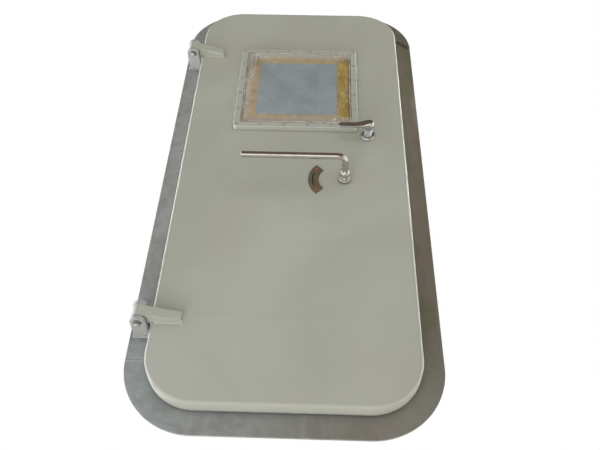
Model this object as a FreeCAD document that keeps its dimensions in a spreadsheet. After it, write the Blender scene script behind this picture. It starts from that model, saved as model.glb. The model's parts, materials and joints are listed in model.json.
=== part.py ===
"""Weathertight steel door for a ship, with its weld-in frame, as a parametric assembly.

Every size is in millimetres. X runs to the right seen from outside, Z up and -Y outwards,
so "out" below is a distance from the back of the frame's flange towards the outside.
The origin is on the back of the flange, at the middle of its bottom edge.
"""

import FreeCAD, Part

import math
import os
import re

import Sketcher

doc = FreeCAD.newDocument("WeathertightDoor")

# ---------------------------------------------------------------- driving dimensions

sizes = doc.addObject("Spreadsheet::Sheet", "Sizes")

DRIVING = (
    # frame
    ("clear_width", 700, "clear opening, width"),
    ("clear_height", 1700, "clear opening, height"),
    ("clear_radius", 110, "clear opening, corner radius"),
    ("coaming_wall", 8, "thickness of the upright ring around the opening"),
    ("coaming_depth", 36, "depth of that ring, from the flange's back"),
    ("flange_width", 98, "flat welding flange outside the ring"),
    ("flange_thickness", 8, "plate thickness of the flange"),
    # leaf
    ("leaf_overlap", 40, "leaf beyond the clear opening, each side"),
    ("leaf_gap", 6, "between the flange and the leaf's folded rim"),
    ("leaf_depth", 50, "depth of the leaf's pan"),
    ("skin", 4, "plate thickness of the leaf"),
    ("fold_radius", 7, "outer radius of the fold round the leaf"),
    ("cover_inset", 32, "inner cover's edge from the clear opening's"),
    ("cover_sheet", 2, "sheet thickness of the inner cover"),
    ("cover_out", 12, "inner face of the inner cover"),
    ("rib_low", 330, "heights of the level stiffeners inside the leaf"),
    ("rib_second", 590, "the second one"),
    ("rib_third", 790, "the third one"),
    ("rib_fourth", 1000, "the one below the window"),
    ("rib_high", 1640, "the one above the window"),
    ("post_side", 215, "upright stiffeners beside the window, from the centre line"),
    ("rib_gap", 1, "between the stiffeners and the inner cover"),
    ("slab_gap", 3, "between a mineral wool slab and a stiffener"),
    ("slab_rise", 2, "between a slab's outer face and the skin"),
    ("slab_side", 312, "half width of the slabs"),
    ("slab_end", 235, "half width of the slabs in the rounded ends"),
    ("slab_foot", 150, "lower edge of the lowest slab"),
    ("slab_waist", 222, "lower edge of the first full slab"),
    ("slab_shoulder", 1692, "upper edge of the last full slab"),
    ("slab_head", 1760, "upper edge of the highest slab"),
    ("slab_hub", 140, "the slab behind the handle stops here"),
    ("channel_width", 30, "gasket channel, outside width"),
    ("channel_sheet", 2.5, "sheet thickness of the channel"),
    ("channel_depth", 19, "depth of the channel"),
    ("gasket_gap", 0.5, "between the relaxed gasket and the ring's edge"),
    ("stiffener", 6, "thickness of the flat bars inside the leaf"),
    # window
    ("window_up", 1348, "height of the window's centre"),
    ("window_size", 450, "window frame, outside"),
    ("window_rail", 28, "width of the window frame's rails"),
    ("window_height", 20, "window frame above the leaf's face"),
    ("window_radius", 14, "window frame, corner radius"),
    ("light_size", 380, "hole in the leaf behind the pane"),
    ("light_radius", 10, "its corner radius, and the gaskets'"),
    ("lining", 3, "thickness of the sheet that lines the hole"),
    ("lining_radius", 7, "lining, inner corner radius"),
    ("lip_radius", 8, "opening of the window frame, corner radius"),
    ("frame_bevel", 1.5, "bevel along the window frame's outer edges"),
    ("back_frame", 6, "thickness of the inner window frame"),
    ("pane", 8, "thickness of the pane"),
    ("pane_size", 408, "width of the pane"),
    ("pane_radius", 9, "pane, corner radius"),
    ("pane_play", 1, "between the pane's edge and the frame's rebate"),
    ("seal", 3, "pane's gasket against the leaf"),
    ("front_seal", 2, "pane's gasket against the frame's lip"),
    ("tape_width", 45, "masking tape along the pane's edges"),
    ("tape", 0.5, "thickness of the tape"),
    ("tape_inset", 2.5, "tape's outer edge from the frame's opening"),
    ("screw_edge", 11, "window frame screws, from the frame's outer edge"),
    ("screw_radius", 2.5, "window frame screws"),
    ("screw_head", 5, "radius of their heads"),
    ("screw_rise", 1.6, "height of their heads"),
    ("screw_slope", 1.5, "how much narrower the heads are on top"),
    # hinges
    ("hinge_low", 325, "height of the lower hinge's middle"),
    ("hinge_high", 1567, "height of the upper hinge's middle"),
    ("pin_side", 421, "hinge pins from the door's centre line"),
    ("pin_out", 85.5, "hinge pins from the flange's back"),
    ("pin_radius", 8, "hinge pins"),
    ("pin_head", 5, "height of their heads, and how far these reach beyond the pin"),
    ("pin_end", 8, "threaded end below the lower ear"),
    ("nut_wall", 4.5, "wall of the domed nuts"),
    ("ear_radius", 22, "round top of the hinge ears"),
    ("ear", 12, "thickness of each ear"),
    ("ear_gap", 38, "between a hinge's two ears"),
    ("washer", 2, "thrust washers"),
    ("bush_wall", 3, "wall of the hinge bushes"),
    ("knuckle_radius", 21, "round end of the hinge arms"),
    ("arm_reach", 121, "hinge pin to the arm's far end"),
    ("arm_root", 41.5, "arm's height above the leaf at the pin"),
    ("arm_step", 1, "knuckle's end faces beyond the arm's sides"),
    ("arm_tip", 21, "and at the far end"),
    ("arm_tip_width", 26, "width of the arm at its far end"),
    ("arm_drop_low", 4, "lower arm's far end below the knuckle's middle"),
    ("arm_drop_high", 13, "upper arm's far end below the knuckle's middle"),
    # main handle
    ("hub_side", 175, "spindle from the centre line"),
    ("hub_up", 890, "height of the spindle"),
    ("spindle_radius", 10, "main spindle"),
    ("gland_radius", 19, "tube that carries the spindle through the leaf"),
    ("gland_rise", 3, "how far it stands out of the leaf's face"),
    ("hub_gap", 0.5, "between the tube and the handle's foot"),
    ("bush_radius", 13, "bronze bush in that tube"),
    ("bar_radius", 11, "bent bar of the handles"),
    ("bar_bend", 29, "bend's radius at the bar's centre line"),
    ("bar_height", 110, "handle's bar above the leaf"),
    ("bar_length", 345, "spindle's axis to the bar's free end"),
    ("bar_chamfer", 3, "chamfer on that end"),
    ("ball_radius", 19.5, "round hub of each handle"),
    ("ball_rise", 27, "handle's foot to the round hub's middle"),
    ("collar_radius", 21.5, "collar at the handle's foot"),
    ("collar", 3, "height of its cylindrical part"),
    ("collar_cone", 9, "height of its sloping part"),
    ("socket", 24, "depth of the spindle's hole in each handle"),
    ("crank", 60, "crank radius of rotor and dogs"),
    ("handle_swing", 30, "handle's travel each way"),
    # dogs and links
    ("dog_side", 282, "dog pivots from the centre line"),
    ("dog_down", 550, "lower dogs below the middle ones"),
    ("dog_rise", 620, "upper dogs above the middle ones"),
    ("dog_reach", 60, "dog's pivot to the nose's tip"),
    ("dog_plate", 10, "thickness of dogs and rotor"),
    ("dog_out", 3.7, "outer face of dogs and rotor"),
    ("nose_half", 9, "half width of a dog's nose"),
    ("boss_radius", 22, "round boss of a dog"),
    ("rotor_radius", 25, "round boss of the rotor"),
    ("stud_radius", 10, "fixed studs that the dogs turn on"),
    ("link", 6, "thickness of the connecting bars"),
    ("link_half", 10, "half width of the connecting bars"),
    ("crank_pin", 6, "radius of the crank pins"),
    ("crank_cheek", 6, "metal round a crank pin"),
    ("pin_cap", 3, "caps on the crank pins, their height and their rim"),
    ("stud_cap", 4, "height of the caps on the studs"),
    ("stud_rim", 5, "rim of the caps on the studs"),
    ("link_eye", 2, "how much wider the bars' round ends are"),
    ("layer_gap", 0.4, "between one layer of the linkage and the next"),
    ("keeper_depth", 24, "wedge blocks, inwards from the ring"),
    ("keeper_half", 10, "half height of the wedge blocks"),
    ("keeper_height", 24, "wedge blocks, outwards"),
    ("keeper_lead", 3, "lead-in of the wedge"),
    ("keeper_gap", 0.7, "between a dog and its wedge block"),
    # lever latch
    ("lever_side", 260, "latch spindle from the centre line"),
    ("lever_up", 1104, "height of the latch spindle"),
    ("rose_radius", 27, "round rose"),
    ("rose", 9, "thickness of the rose"),
    ("rose_round", 3, "rounding of the rose's rim"),
    ("neck_radius", 13, "lever's neck"),
    ("elbow_radius", 16.5, "lever's elbow"),
    ("lever_radius", 10.5, "lever's arm at the elbow"),
    ("lever_taper", 1.5, "how much thinner the arm is at its end"),
    ("lever_height", 53, "lever's axis above the leaf"),
    ("lever_length", 106.5, "latch spindle to the lever's end"),
    ("square", 10, "square spindle across its flats"),
    ("square_depth", 10, "how deep it goes into each lever"),
    ("bolt_out", 30, "outer face of the latch bolt"),
    ("bolt_length", 36, "latch bolt"),
    ("bolt_height", 20, "latch bolt"),
    ("bolt_depth", 12, "latch bolt"),
    ("strike_half", 14, "half height of the strike"),
    ("strike_depth", 4.6, "thickness of the strike"),
    ("strike_gap", 0.6, "between the latch bolt and the strike"),
    ("case_side", 232, "lock case's left edge from the centre line"),
    ("case_half", 32, "half height of the lock case"),
    ("case_depth", 33, "depth of the lock case"),
    ("case_sheet", 2, "sheet thickness of the lock case"),
    ("case_gap", 0.5, "between the lock case and the inner cover"),
    # indicator
    ("dial_side", 144, "centre of the indicator plate's curve"),
    ("dial_up", 886, "height of that centre"),
    ("dial_inner", 58, "indicator plate, inner radius"),
    ("dial_outer", 92, "indicator plate, outer radius"),
    ("dial_spread", 90, "angle that the indicator plate spans"),
    ("dial_plate", 3, "thickness of the indicator plate"),
    ("slot_ring", 77.5, "radius of the slot's middle line"),
    ("slot_half", 2.2, "half width of the slot"),
    ("slot_spread", 44, "angle that the slot spans"),
    ("mark_ring", 80, "red marks from the curve's centre"),
    ("mark_angle", 36, "red marks from the level, each way"),
    ("mark_radius", 6.5, "red marks"),
    ("mark_rise", 0.6, "thickness of the red marks"),
    # clearances
    ("running", 0.05, "radial clearance of a running fit"),
    ("loose", 0.3, "clearance of a loose fit"),
    ("play", 0.5, "clearance of a hole that nothing turns in"),
)

for row, (alias, number, meaning) in enumerate(DRIVING, start=1):
    sizes.set(f"A{row}", meaning)
    sizes.set(f"B{row}", str(number))
    sizes.setAlias(f"B{row}", alias)
doc.recompute()


ALIASES = {entry[0] for entry in DRIVING}


def rel(text):
    """The sheet's expression for a text whose words are aliases."""
    found = re.sub(r"[a-z_]+", lambda m: "Sizes." + m.group() if m.group() in ALIASES else m.group(), text)
    return f"({found})"


def value(text):
    """The number that such a text comes to."""
    result = sizes.evalExpression(rel(text))
    return float(getattr(result, "Value", result))


# ---------------------------------------------------------------- derived places

LEAF_FACE = "(flange_thickness + leaf_gap + leaf_depth)"
LEAF_BACK = "(flange_thickness + leaf_gap)"
SKIN_BACK = f"({LEAF_FACE} - skin)"
HALF_CLEAR = "(clear_width / 2)"
RING_OUTER = "(clear_width / 2 + coaming_wall)"
HALF_FLANGE = f"({RING_OUTER} + flange_width)"
CLEAR_LOW = "(flange_width + coaming_wall)"
CLEAR_HIGH = f"({CLEAR_LOW} + clear_height)"
CORNER_SIDE = "(clear_width / 2 - clear_radius)"
CORNER_LOW = f"({CLEAR_LOW} + clear_radius)"
CORNER_HIGH = f"({CLEAR_HIGH} - clear_radius)"
DOG_BACK = "(dog_out - dog_plate)"
FIRST_LAYER = f"({DOG_BACK} - layer_gap)"
SECOND_LAYER = f"({FIRST_LAYER} - link - layer_gap)"
PANE_BACK = f"({LEAF_FACE} + seal)"
PANE_FACE = f"({PANE_BACK} + pane)"
WINDOW_FACE = f"({LEAF_FACE} + window_height)"
INNER_SPACE = f"({HALF_CLEAR} - cover_inset - cover_sheet)"
SQUARE_CORNER = ("(lever_side - square / 2)", "(lever_up - square / 2)")
LIP_BACK = f"({PANE_FACE} + front_seal)"

nodes = {}


def keep(obj, name):
    """Make an object a sub-part: its label is the sub-part's name and its file's."""
    obj.Label = name
    nodes[name] = obj
    return obj


# ---------------------------------------------------------------- building blocks

def bind(obj, **texts):
    """Bind an object's sizes to the sheet."""
    for prop, text in texts.items():
        obj.setExpression(prop, rel(text))


def seat(obj, side, up, out, turn=None):
    """Place an object: side along X, up along Z, out towards the outside."""
    rotation = turn or FreeCAD.Rotation(FreeCAD.Vector(1, 0, 0), 90)
    obj.Placement = FreeCAD.Placement(FreeCAD.Vector(0, 0, 0), rotation)
    obj.setExpression("Placement.Base.x", rel(side))
    obj.setExpression("Placement.Base.y", rel(f"-({out})"))
    obj.setExpression("Placement.Base.z", rel(up))
    return obj


def block(name, side, up, out, width, height, depth):
    """A box from its low corner: width along X, height along Z, depth outwards."""
    obj = doc.addObject("Part::Box", name)
    bind(obj, Length=width, Width=height, Height=depth)
    return seat(obj, side, up, out)


def disc(name, side, up, out, radius, depth, angle=None, start=0.0):
    """A cylinder, or a sector of one, along the outward direction."""
    obj = doc.addObject("Part::Cylinder", name)
    bind(obj, Radius=radius, Height=depth)
    if angle:
        bind(obj, Angle=angle)
    flat = FreeCAD.Rotation(FreeCAD.Vector(1, 0, 0), 90)
    spin = FreeCAD.Rotation(FreeCAD.Vector(0, 0, 1), start)
    return seat(obj, side, up, out, flat.multiply(spin))


def post(name, side, up, out, radius, height):
    """A cylinder that stands upright."""
    obj = doc.addObject("Part::Cylinder", name)
    bind(obj, Radius=radius, Height=height)
    return seat(obj, side, up, out, FreeCAD.Rotation())


def bar(name, side, up, out, radius, length, tip=None):
    """A round bar along X, tapering to the radius "tip" where one is given."""
    obj = doc.addObject("Part::Cone" if tip else "Part::Cylinder", name)
    if tip:
        bind(obj, Radius1=radius, Radius2=tip, Height=length)
    else:
        bind(obj, Radius=radius, Height=length)
    return seat(obj, side, up, out, FreeCAD.Rotation(FreeCAD.Vector(0, 1, 0), -90))


def taper(name, side, up, out, start, end, depth):
    """A cone along the outward direction, from one radius to another."""
    obj = doc.addObject("Part::Cone", name)
    bind(obj, Radius1=start, Radius2=end, Height=depth)
    return seat(obj, side, up, out)


def ball(name, side, up, out, radius, low=-90.0, high=90.0):
    """A sphere, or the slice of one between two latitudes about the upright axis."""
    obj = doc.addObject("Part::Sphere", name)
    obj.Angle1 = low
    obj.Angle2 = high
    bind(obj, Radius=radius)
    return seat(obj, side, up, out, FreeCAD.Rotation())


def join(name, pieces):
    obj = doc.addObject("Part::MultiFuse", name)
    obj.Shapes = pieces
    return obj


def group(name, pieces):
    """Several separate solids that make one sub-part."""
    obj = doc.addObject("Part::Compound", name)
    obj.Links = pieces
    return obj


def cut(name, base, tools):
    tool = tools[0] if len(tools) == 1 else join(name + "_tools", tools)
    obj = doc.addObject("Part::Cut", name)
    obj.Base = base
    obj.Tool = tool
    return obj


def plane_of(body, role):
    return next(f for f in body.Origin.OriginFeatures if f.Role == role)


def rounded_sketch(body, name, half_width, low, high, radius, out):
    """A rounded rectangle about the door's centre line, in a plane parallel to the door."""
    sketch = body.newObject("Sketcher::SketchObject", name)
    sketch.AttachmentSupport = [(plane_of(body, "XZ_Plane"), "")]
    sketch.MapMode = "FlatFace"
    sketch.setExpression("AttachmentOffset.Base.z", rel(out))
    add_rounded_loop(sketch, half_width, low, high, radius)
    return sketch


def add_rounded_loop(sketch, half_width, low, high, radius):
    """Four lines and four tangent arcs, with their sizes bound to the sheet."""
    half = value(half_width)
    bottom = value(low)
    top = value(high)
    fillet = value(radius)
    first = len(sketch.Geometry)
    vector = FreeCAD.Vector
    corners = (
        (half - fillet, bottom + fillet, -90.0),
        (half - fillet, top - fillet, 0.0),
        (-half + fillet, top - fillet, 90.0),
        (-half + fillet, bottom + fillet, 180.0),
    )
    ends = []
    for across, upward, angle in corners:
        circle = Part.Circle(vector(across, upward, 0), vector(0, 0, 1), fillet)
        arc = Part.ArcOfCircle(circle, math.radians(angle), math.radians(angle + 90))
        sketch.addGeometry(arc, False)
        ends.append((arc.StartPoint, arc.EndPoint))
    for index in range(4):
        line = Part.LineSegment(ends[index][1], ends[(index + 1) % 4][0])
        sketch.addGeometry(line, False)
    arcs = [first + index for index in range(4)]
    lines = [first + 4 + index for index in range(4)]
    for index in range(4):
        sketch.addConstraint(Sketcher.Constraint("Tangent", arcs[index], 2, lines[index], 1))
        sketch.addConstraint(Sketcher.Constraint("Tangent", lines[index], 2, arcs[(index + 1) % 4], 1))
    for arc in arcs[1:]:
        sketch.addConstraint(Sketcher.Constraint("Equal", arcs[0], arc))
    for index, kind in enumerate(("Vertical", "Horizontal", "Vertical", "Horizontal")):
        sketch.addConstraint(Sketcher.Constraint(kind, lines[index]))
    bound = (
        (Sketcher.Constraint("Radius", arcs[0], fillet), radius),
        (Sketcher.Constraint("DistanceX", -1, 1, lines[0], 1, half), half_width),
        (Sketcher.Constraint("DistanceX", lines[2], 1, -1, 1, half), half_width),
        (Sketcher.Constraint("DistanceY", -1, 1, lines[1], 1, top), high),
        (Sketcher.Constraint("DistanceY", -1, 1, lines[3], 1, bottom), low),
    )
    for constraint, text in bound:
        index = sketch.addConstraint(constraint)
        sketch.setExpression(f"Constraints[{index}]", rel(text))


def face_edges(feature, face):
    """The edges of a feature that lie in its outermost plane."""
    return [
        f"Edge{number}"
        for number, edge in enumerate(feature.Shape.Edges, start=1)
        if edge.BoundBox.YMax < -face + 0.01
    ]


class Plate:
    """A PartDesign body made of rounded plates, rings and pockets parallel to the door."""

    def __init__(self, name):
        self.name = name
        self.body = doc.addObject("PartDesign::Body", name + "_body")
        self.count = 0

    def _sketch(self, loops, out):
        self.count += 1
        sketch = rounded_sketch(self.body, f"{self.name}_sketch{self.count}", *loops[0], out)
        for loop in loops[1:]:
            add_rounded_loop(sketch, *loop)
        return sketch

    def pad(self, loops, out, depth):
        sketch = self._sketch(loops, out)
        feature = self.body.newObject("PartDesign::Pad", f"{self.name}_pad{self.count}")
        feature.Profile = sketch
        feature.setExpression("Length", rel(depth))
        return feature

    def pocket(self, loops, out, depth):
        """A pocket that runs from "out" outwards."""
        before = self._volume()
        sketch = self._sketch(loops, out)
        feature = self.body.newObject("PartDesign::Pocket", f"{self.name}_pocket{self.count}")
        feature.Profile = sketch
        feature.Reversed = True
        feature.setExpression("Length", rel(depth))
        if self._volume() > before - 1.0:
            raise RuntimeError(f"{self.name}: pocket {self.count} cuts nothing")
        return feature

    def _volume(self):
        doc.recompute()
        return self.body.Shape.Volume


def inset(distance):
    """The rounded rectangle at a distance inside the clear opening's edge, or outside if negative."""
    return (
        f"({HALF_CLEAR} - ({distance}))",
        f"({CLEAR_LOW} + ({distance}))",
        f"({CLEAR_HIGH} - ({distance}))",
        f"(clear_radius - ({distance}))",
    )


def square_loop(half, radius):
    """A rounded square about the window's centre."""
    return (half, f"(window_up - {half})", f"(window_up + {half})", radius)


# ---------------------------------------------------------------- frame

def flange_pieces():
    """The flat welding flange: four straight bars and four corner plates."""
    tall = f"({CORNER_HIGH} - {CORNER_LOW})"
    for name, side in (("left", f"-{HALF_FLANGE}"), ("right", RING_OUTER)):
        node = f"flange_bar_{name}"
        keep(block(node, side, CORNER_LOW, "0", "flange_width", tall, "flange_thickness"), node)
    for name, up in (("bottom", "0"), ("top", f"({CLEAR_HIGH} + coaming_wall)")):
        node = f"flange_bar_{name}"
        wide = f"(2 * {CORNER_SIDE})"
        keep(block(node, f"-{CORNER_SIDE}", up, "0", wide, "flange_width", "flange_thickness"), node)
    corners = (
        ("top_right", CORNER_SIDE, CORNER_HIGH, 0.0),
        ("top_left", f"-{CORNER_SIDE}", CORNER_HIGH, 90.0),
        ("bottom_left", f"-{CORNER_SIDE}", CORNER_LOW, 180.0),
        ("bottom_right", CORNER_SIDE, CORNER_LOW, 270.0),
    )
    inner = "(clear_radius + coaming_wall)"
    for name, side, up, start in corners:
        node = f"flange_corner_{name}"
        wide = f"({inner} + flange_width)"
        sector = disc(node + "_sector", side, up, "0", wide, "flange_thickness", "90", start)
        hole = disc(node + "_hole", side, up, "0", inner, "flange_thickness")
        keep(cut(node, sector, [hole]), node)


def coaming():
    """The upright ring around the opening, whose outer edge the gasket meets."""
    plate = Plate("coaming_ring")
    plate.pad([inset("-coaming_wall"), inset("0")], "0", "coaming_depth")
    keep(plate.body, "coaming_ring")


def hinge_ears():
    """Two pairs of ears with round tops, welded to the flange."""
    ears = []
    for place in ("hinge_low", "hinge_high"):
        for index, low in enumerate(("-ear_gap / 2 - ear", "ear_gap / 2")):
            name = f"{place}_ear{index}"
            up = f"({place} + ({low}))"
            tall = "pin_out - flange_thickness"
            left = "(-pin_side - ear_radius)"
            shank = block(name + "_shank", left, up, "flange_thickness", "2 * ear_radius", "ear", tall)
            top = post(name + "_top", "-pin_side", up, "pin_out", "ear_radius", "ear")
            bore = post(name + "_bore", "-pin_side", up, "pin_out", "pin_radius", "ear")
            ears.append(cut(name, join(name + "_blank", [shank, top]), [bore]))
    keep(group("hinge_ears", ears), "hinge_ears")


def hinge_pins():
    """Headed pins, held below by domed nuts, and the thrust washers on the lower ears."""
    pins = []
    domes = []
    washers = []
    half = "(ear_gap / 2 + ear)"
    for place in ("hinge_low", "hinge_high"):
        low = f"({place} - {half} - pin_end)"
        shank = post(place + "_shank", "-pin_side", low, "pin_out", "pin_radius", f"2 * {half} + pin_end")
        rim = "pin_radius + pin_head"
        head = post(place + "_head", "-pin_side", f"({place} + {half})", "pin_out", rim, "pin_head")
        pins.append(join(place + "_pin", [shank, head]))
        under = f"({place} - {half})"
        dome = ball(place + "_round", "-pin_side", under, "pin_out", "pin_radius + nut_wall", -90.0, 0.0)
        hole = post(place + "_hole", "-pin_side", low, "pin_out", "pin_radius", "pin_end")
        domes.append(cut(place + "_dome", dome, [hole]))
        seat_up = f"({place} - ear_gap / 2)"
        ring = post(place + "_ring", "-pin_side", seat_up, "pin_out", "pin_radius * 2", "washer")
        eye = post(place + "_eye", "-pin_side", seat_up, "pin_out", "pin_radius + running", "washer")
        washers.append(cut(place + "_washer", ring, [eye]))
    keep(group("hinge_pins", pins), "hinge_pins")
    keep(group("hinge_pin_nuts", domes), "hinge_pin_nuts")
    keep(group("hinge_washers", washers), "hinge_washers")


def keepers():
    """Wedge blocks inside the ring, behind which the dogs turn, and the latch's strike."""
    wedges = []
    for hand in ("left", "right"):
        side = f"-{HALF_CLEAR}" if hand == "left" else f"({HALF_CLEAR} - keeper_depth)"
        for index, up in enumerate(DOG_HEIGHTS):
            block_name = f"keeper_{hand}_{index}"
            wedge = doc.addObject("Part::Wedge", block_name)
            lead, flush = (("Z2min", "Zmin") if hand == "left" else ("Zmin", "Z2min"))
            bind(wedge, Xmin="0", X2min="0", Xmax="keeper_depth", X2max="keeper_depth")
            bind(wedge, Ymin="0", Ymax="2 * keeper_half", Zmax="keeper_height", Z2max="keeper_height")
            bind(wedge, **{lead: "keeper_lead", flush: "0"})
            seat(wedge, side, f"({up} - keeper_half)", "dog_out + keeper_gap")
            wedges.append(wedge)
    keep(group("dog_keepers", wedges), "dog_keepers")
    strike_side = f"({HALF_CLEAR} - keeper_depth)"
    strike_up = "(lever_up - strike_half)"
    strike_out = "bolt_out + strike_gap"
    spans = ("keeper_depth", "2 * strike_half", "strike_depth")
    strike = block("latch_strike", strike_side, strike_up, strike_out, *spans)
    keep(strike, "latch_strike")


# ---------------------------------------------------------------- leaf

def leaf_skin():
    """The leaf's pan: a plate with its edge folded back all round."""
    plate = Plate("leaf_skin")
    overlap = "-leaf_overlap"
    pad = plate.pad([inset(overlap)], LEAF_BACK, "leaf_depth")
    doc.recompute()
    outer = face_edges(pad, value(LEAF_FACE))
    fold = plate.body.newObject("PartDesign::Fillet", "leaf_skin_fold")
    fold.Base = (pad, outer)
    fold.setExpression("Radius", rel("fold_radius"))
    doc.recompute()
    plate.pocket([inset("-leaf_overlap + skin")], LEAF_BACK, "leaf_depth - skin")
    light = square_loop("(light_size / 2)", "light_radius")
    plate.pocket([light], SKIN_BACK, "skin")
    holes = [
        disc("skin_gland_hole", "hub_side", "hub_up", SKIN_BACK, "gland_radius", "skin"),
        disc("skin_lever_hole", "lever_side", "lever_up", SKIN_BACK, "neck_radius + play", "skin"),
    ]
    shanks = window_shanks("skin", SKIN_BACK, "skin")
    keep(cut("leaf_skin", plate.body, holes + shanks), "leaf_skin")


def gasket():
    """The channel behind the leaf's edge and the rubber in it."""
    middle = "(-coaming_wall / 2)"
    half = "(channel_width / 2)"
    outer = inset(f"{middle} - {half}")
    inner = inset(f"{middle} + {half}")
    channel = Plate("gasket_channel")
    back = f"({SKIN_BACK} - channel_depth)"
    channel.pad([outer, inner], back, "channel_depth")
    groove_outer = inset(f"{middle} - {half} + channel_sheet")
    groove_inner = inset(f"{middle} + {half} - channel_sheet")
    channel.pocket([groove_outer, groove_inner], back, "channel_depth - channel_sheet")
    keep(channel.body, "gasket_channel")
    rubber = Plate("door_gasket")
    depth = f"({SKIN_BACK} - channel_sheet - coaming_depth - gasket_gap)"
    rubber.pad([groove_outer, groove_inner], "coaming_depth + gasket_gap", depth)
    keep(rubber.body, "door_gasket")


def stiffeners():
    """Flat bars between the skin and the inner cover."""
    inside = f"({INNER_SPACE} - rib_gap)"
    back = "(cover_out + cover_sheet + rib_gap)"
    depth = f"({SKIN_BACK} - {back})"
    bars = []
    for index, up in enumerate(("rib_low", "rib_second", "rib_third", "rib_fourth", "rib_high")):
        bars.append(block(f"rib{index}", f"-{inside}", up, back, f"2 * {inside}", "stiffener", depth))
    for name, side in (("left", "-post_side - stiffener"), ("right", "post_side")):
        tall = "rib_high - rib_fourth - stiffener"
        bars.append(block(f"rib_{name}", side, "rib_fourth + stiffener", back, "stiffener", tall, depth))
    keep(group("leaf_stiffeners", bars), "leaf_stiffeners")


def insulation():
    """Mineral wool slabs between the stiffeners."""
    back = "(cover_out + cover_sheet + rib_gap)"
    depth = f"({SKIN_BACK} - {back} - slab_rise)"
    slabs = []
    above = "stiffener + slab_gap"
    areas = (
        ("-slab_end", "slab_end", "slab_foot", "slab_waist - slab_gap"),
        ("-slab_side", "slab_side", "slab_waist", "rib_low - slab_gap"),
        ("-slab_side", "slab_side", f"rib_low + {above}", "rib_second - slab_gap"),
        ("-slab_side", "slab_side", f"rib_second + {above}", "rib_third - slab_gap"),
        ("-slab_side", "slab_hub", f"rib_third + {above}", "rib_fourth - slab_gap"),
        ("-slab_side", "slab_side", f"rib_high + {above}", "slab_shoulder"),
        ("-slab_end", "slab_end", "slab_shoulder + slab_gap", "slab_head"),
        ("-slab_side", f"-(post_side + {above})", f"rib_fourth + {above}", "rib_high - slab_gap"),
    )
    for index, (left, right, low, high) in enumerate(areas):
        wide = f"({right} - ({left}))"
        slabs.append(block(f"slab{index}", left, low, back, wide, f"({high} - ({low}))", depth))
    keep(group("insulation_slabs", slabs), "insulation_slabs")


def inner_cover():
    """The sheet-metal pan that closes the inside of the leaf."""
    plate = Plate("inner_cover")
    depth = f"({SKIN_BACK} - cover_out)"
    plate.pad([inset("cover_inset")], "cover_out", depth)
    plate.pocket([inset("cover_inset + cover_sheet")], "cover_out + cover_sheet", f"{depth} - cover_sheet")
    plate.pocket([square_loop("(light_size / 2 + lining)", "light_radius")], "cover_out", "cover_sheet")
    holes = [
        disc("cover_gland_hole", "hub_side", "hub_up", "cover_out", "gland_radius", "cover_sheet"),
        disc("cover_lever_hole", "lever_side", "lever_up", "cover_out", "neck_radius + play", "cover_sheet"),
        block(
            "cover_bolt_hole", f"({INNER_SPACE} - cover_sheet)", "(lever_up - bolt_height / 2 - play)",
            "(bolt_out - bolt_depth - play)", "3 * cover_sheet", "(bolt_height + 2 * play)",
            "(bolt_depth + 2 * play)",
        ),
    ]
    shanks = window_shanks("cover", "cover_out", "cover_sheet")
    keep(cut("inner_cover", plate.body, holes + shanks), "inner_cover")


# ---------------------------------------------------------------- window

def window_places():
    """Six screws along each side of the frame, corners shared: twenty in all."""
    step = "((window_size - 2 * screw_edge) / 5)"
    low = "(screw_edge - window_size / 2)"
    places = []
    for column in range(6):
        for line in range(6):
            if column in (0, 5) or line in (0, 5):
                places.append((f"({low} + {column} * {step})", f"(window_up + {low} + {line} * {step})"))
    return places


def window_shanks(name, out, depth):
    """Cylinders at the window's screws, as holes or as shanks."""
    shanks = []
    for index, (side, up) in enumerate(window_places()):
        shanks.append(disc(f"{name}_shank{index}", side, up, out, "screw_radius", depth))
    return shanks


def window():
    """Outer frame, pane and its gaskets, the lining through the leaf, inner frame, screws and tape."""
    outside = square_loop("(window_size / 2)", "window_radius")
    opening = square_loop("(window_size / 2 - window_rail)", "lip_radius")
    rebate = square_loop("(pane_size / 2 + pane_play)", "(pane_radius + pane_play)")
    plate = Plate("window_frame")
    plate.pad([outside, opening], LEAF_FACE, "window_height")
    rebated = plate.pocket([rebate], LEAF_FACE, f"{LIP_BACK} - {LEAF_FACE}")
    frame_face = face_edges(rebated, value(WINDOW_FACE))
    bevel = plate.body.newObject("PartDesign::Chamfer", "window_frame_bevel")
    bevel.Base = (rebated, frame_face)
    bevel.setExpression("Size", rel("frame_bevel"))
    keep(cut("window_frame", plate.body, window_shanks("frame", LEAF_FACE, "window_height")), "window_frame")
    sheet = square_loop("(pane_size / 2)", "pane_radius")
    pane = Plate("window_pane")
    pane.pad([sheet], PANE_BACK, "pane")
    keep(pane.body, "window_pane")
    inner = Plate("gasket_back")
    inner.pad([sheet, square_loop("(light_size / 2)", "light_radius")], LEAF_FACE, "seal")
    outer = Plate("gasket_front")
    outer.pad([sheet, opening], PANE_FACE, "front_seal")
    keep(group("window_gaskets", [inner.body, outer.body]), "window_gaskets")
    light = square_loop("(light_size / 2)", "lining_radius")
    lining = Plate("window_lining")
    wall = square_loop("(light_size / 2 + lining)", "light_radius")
    lining.pad([wall, light], "cover_out", f"({SKIN_BACK} - cover_out)")
    keep(lining.body, "window_lining")
    back_out = "(cover_out - back_frame)"
    back = Plate("window_inner_frame")
    back.pad([outside, light], back_out, "back_frame")
    back_holes = window_shanks("back", back_out, "back_frame")
    keep(cut("window_inner_frame", back.body, back_holes), "window_inner_frame")
    screws()
    tape()


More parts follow.
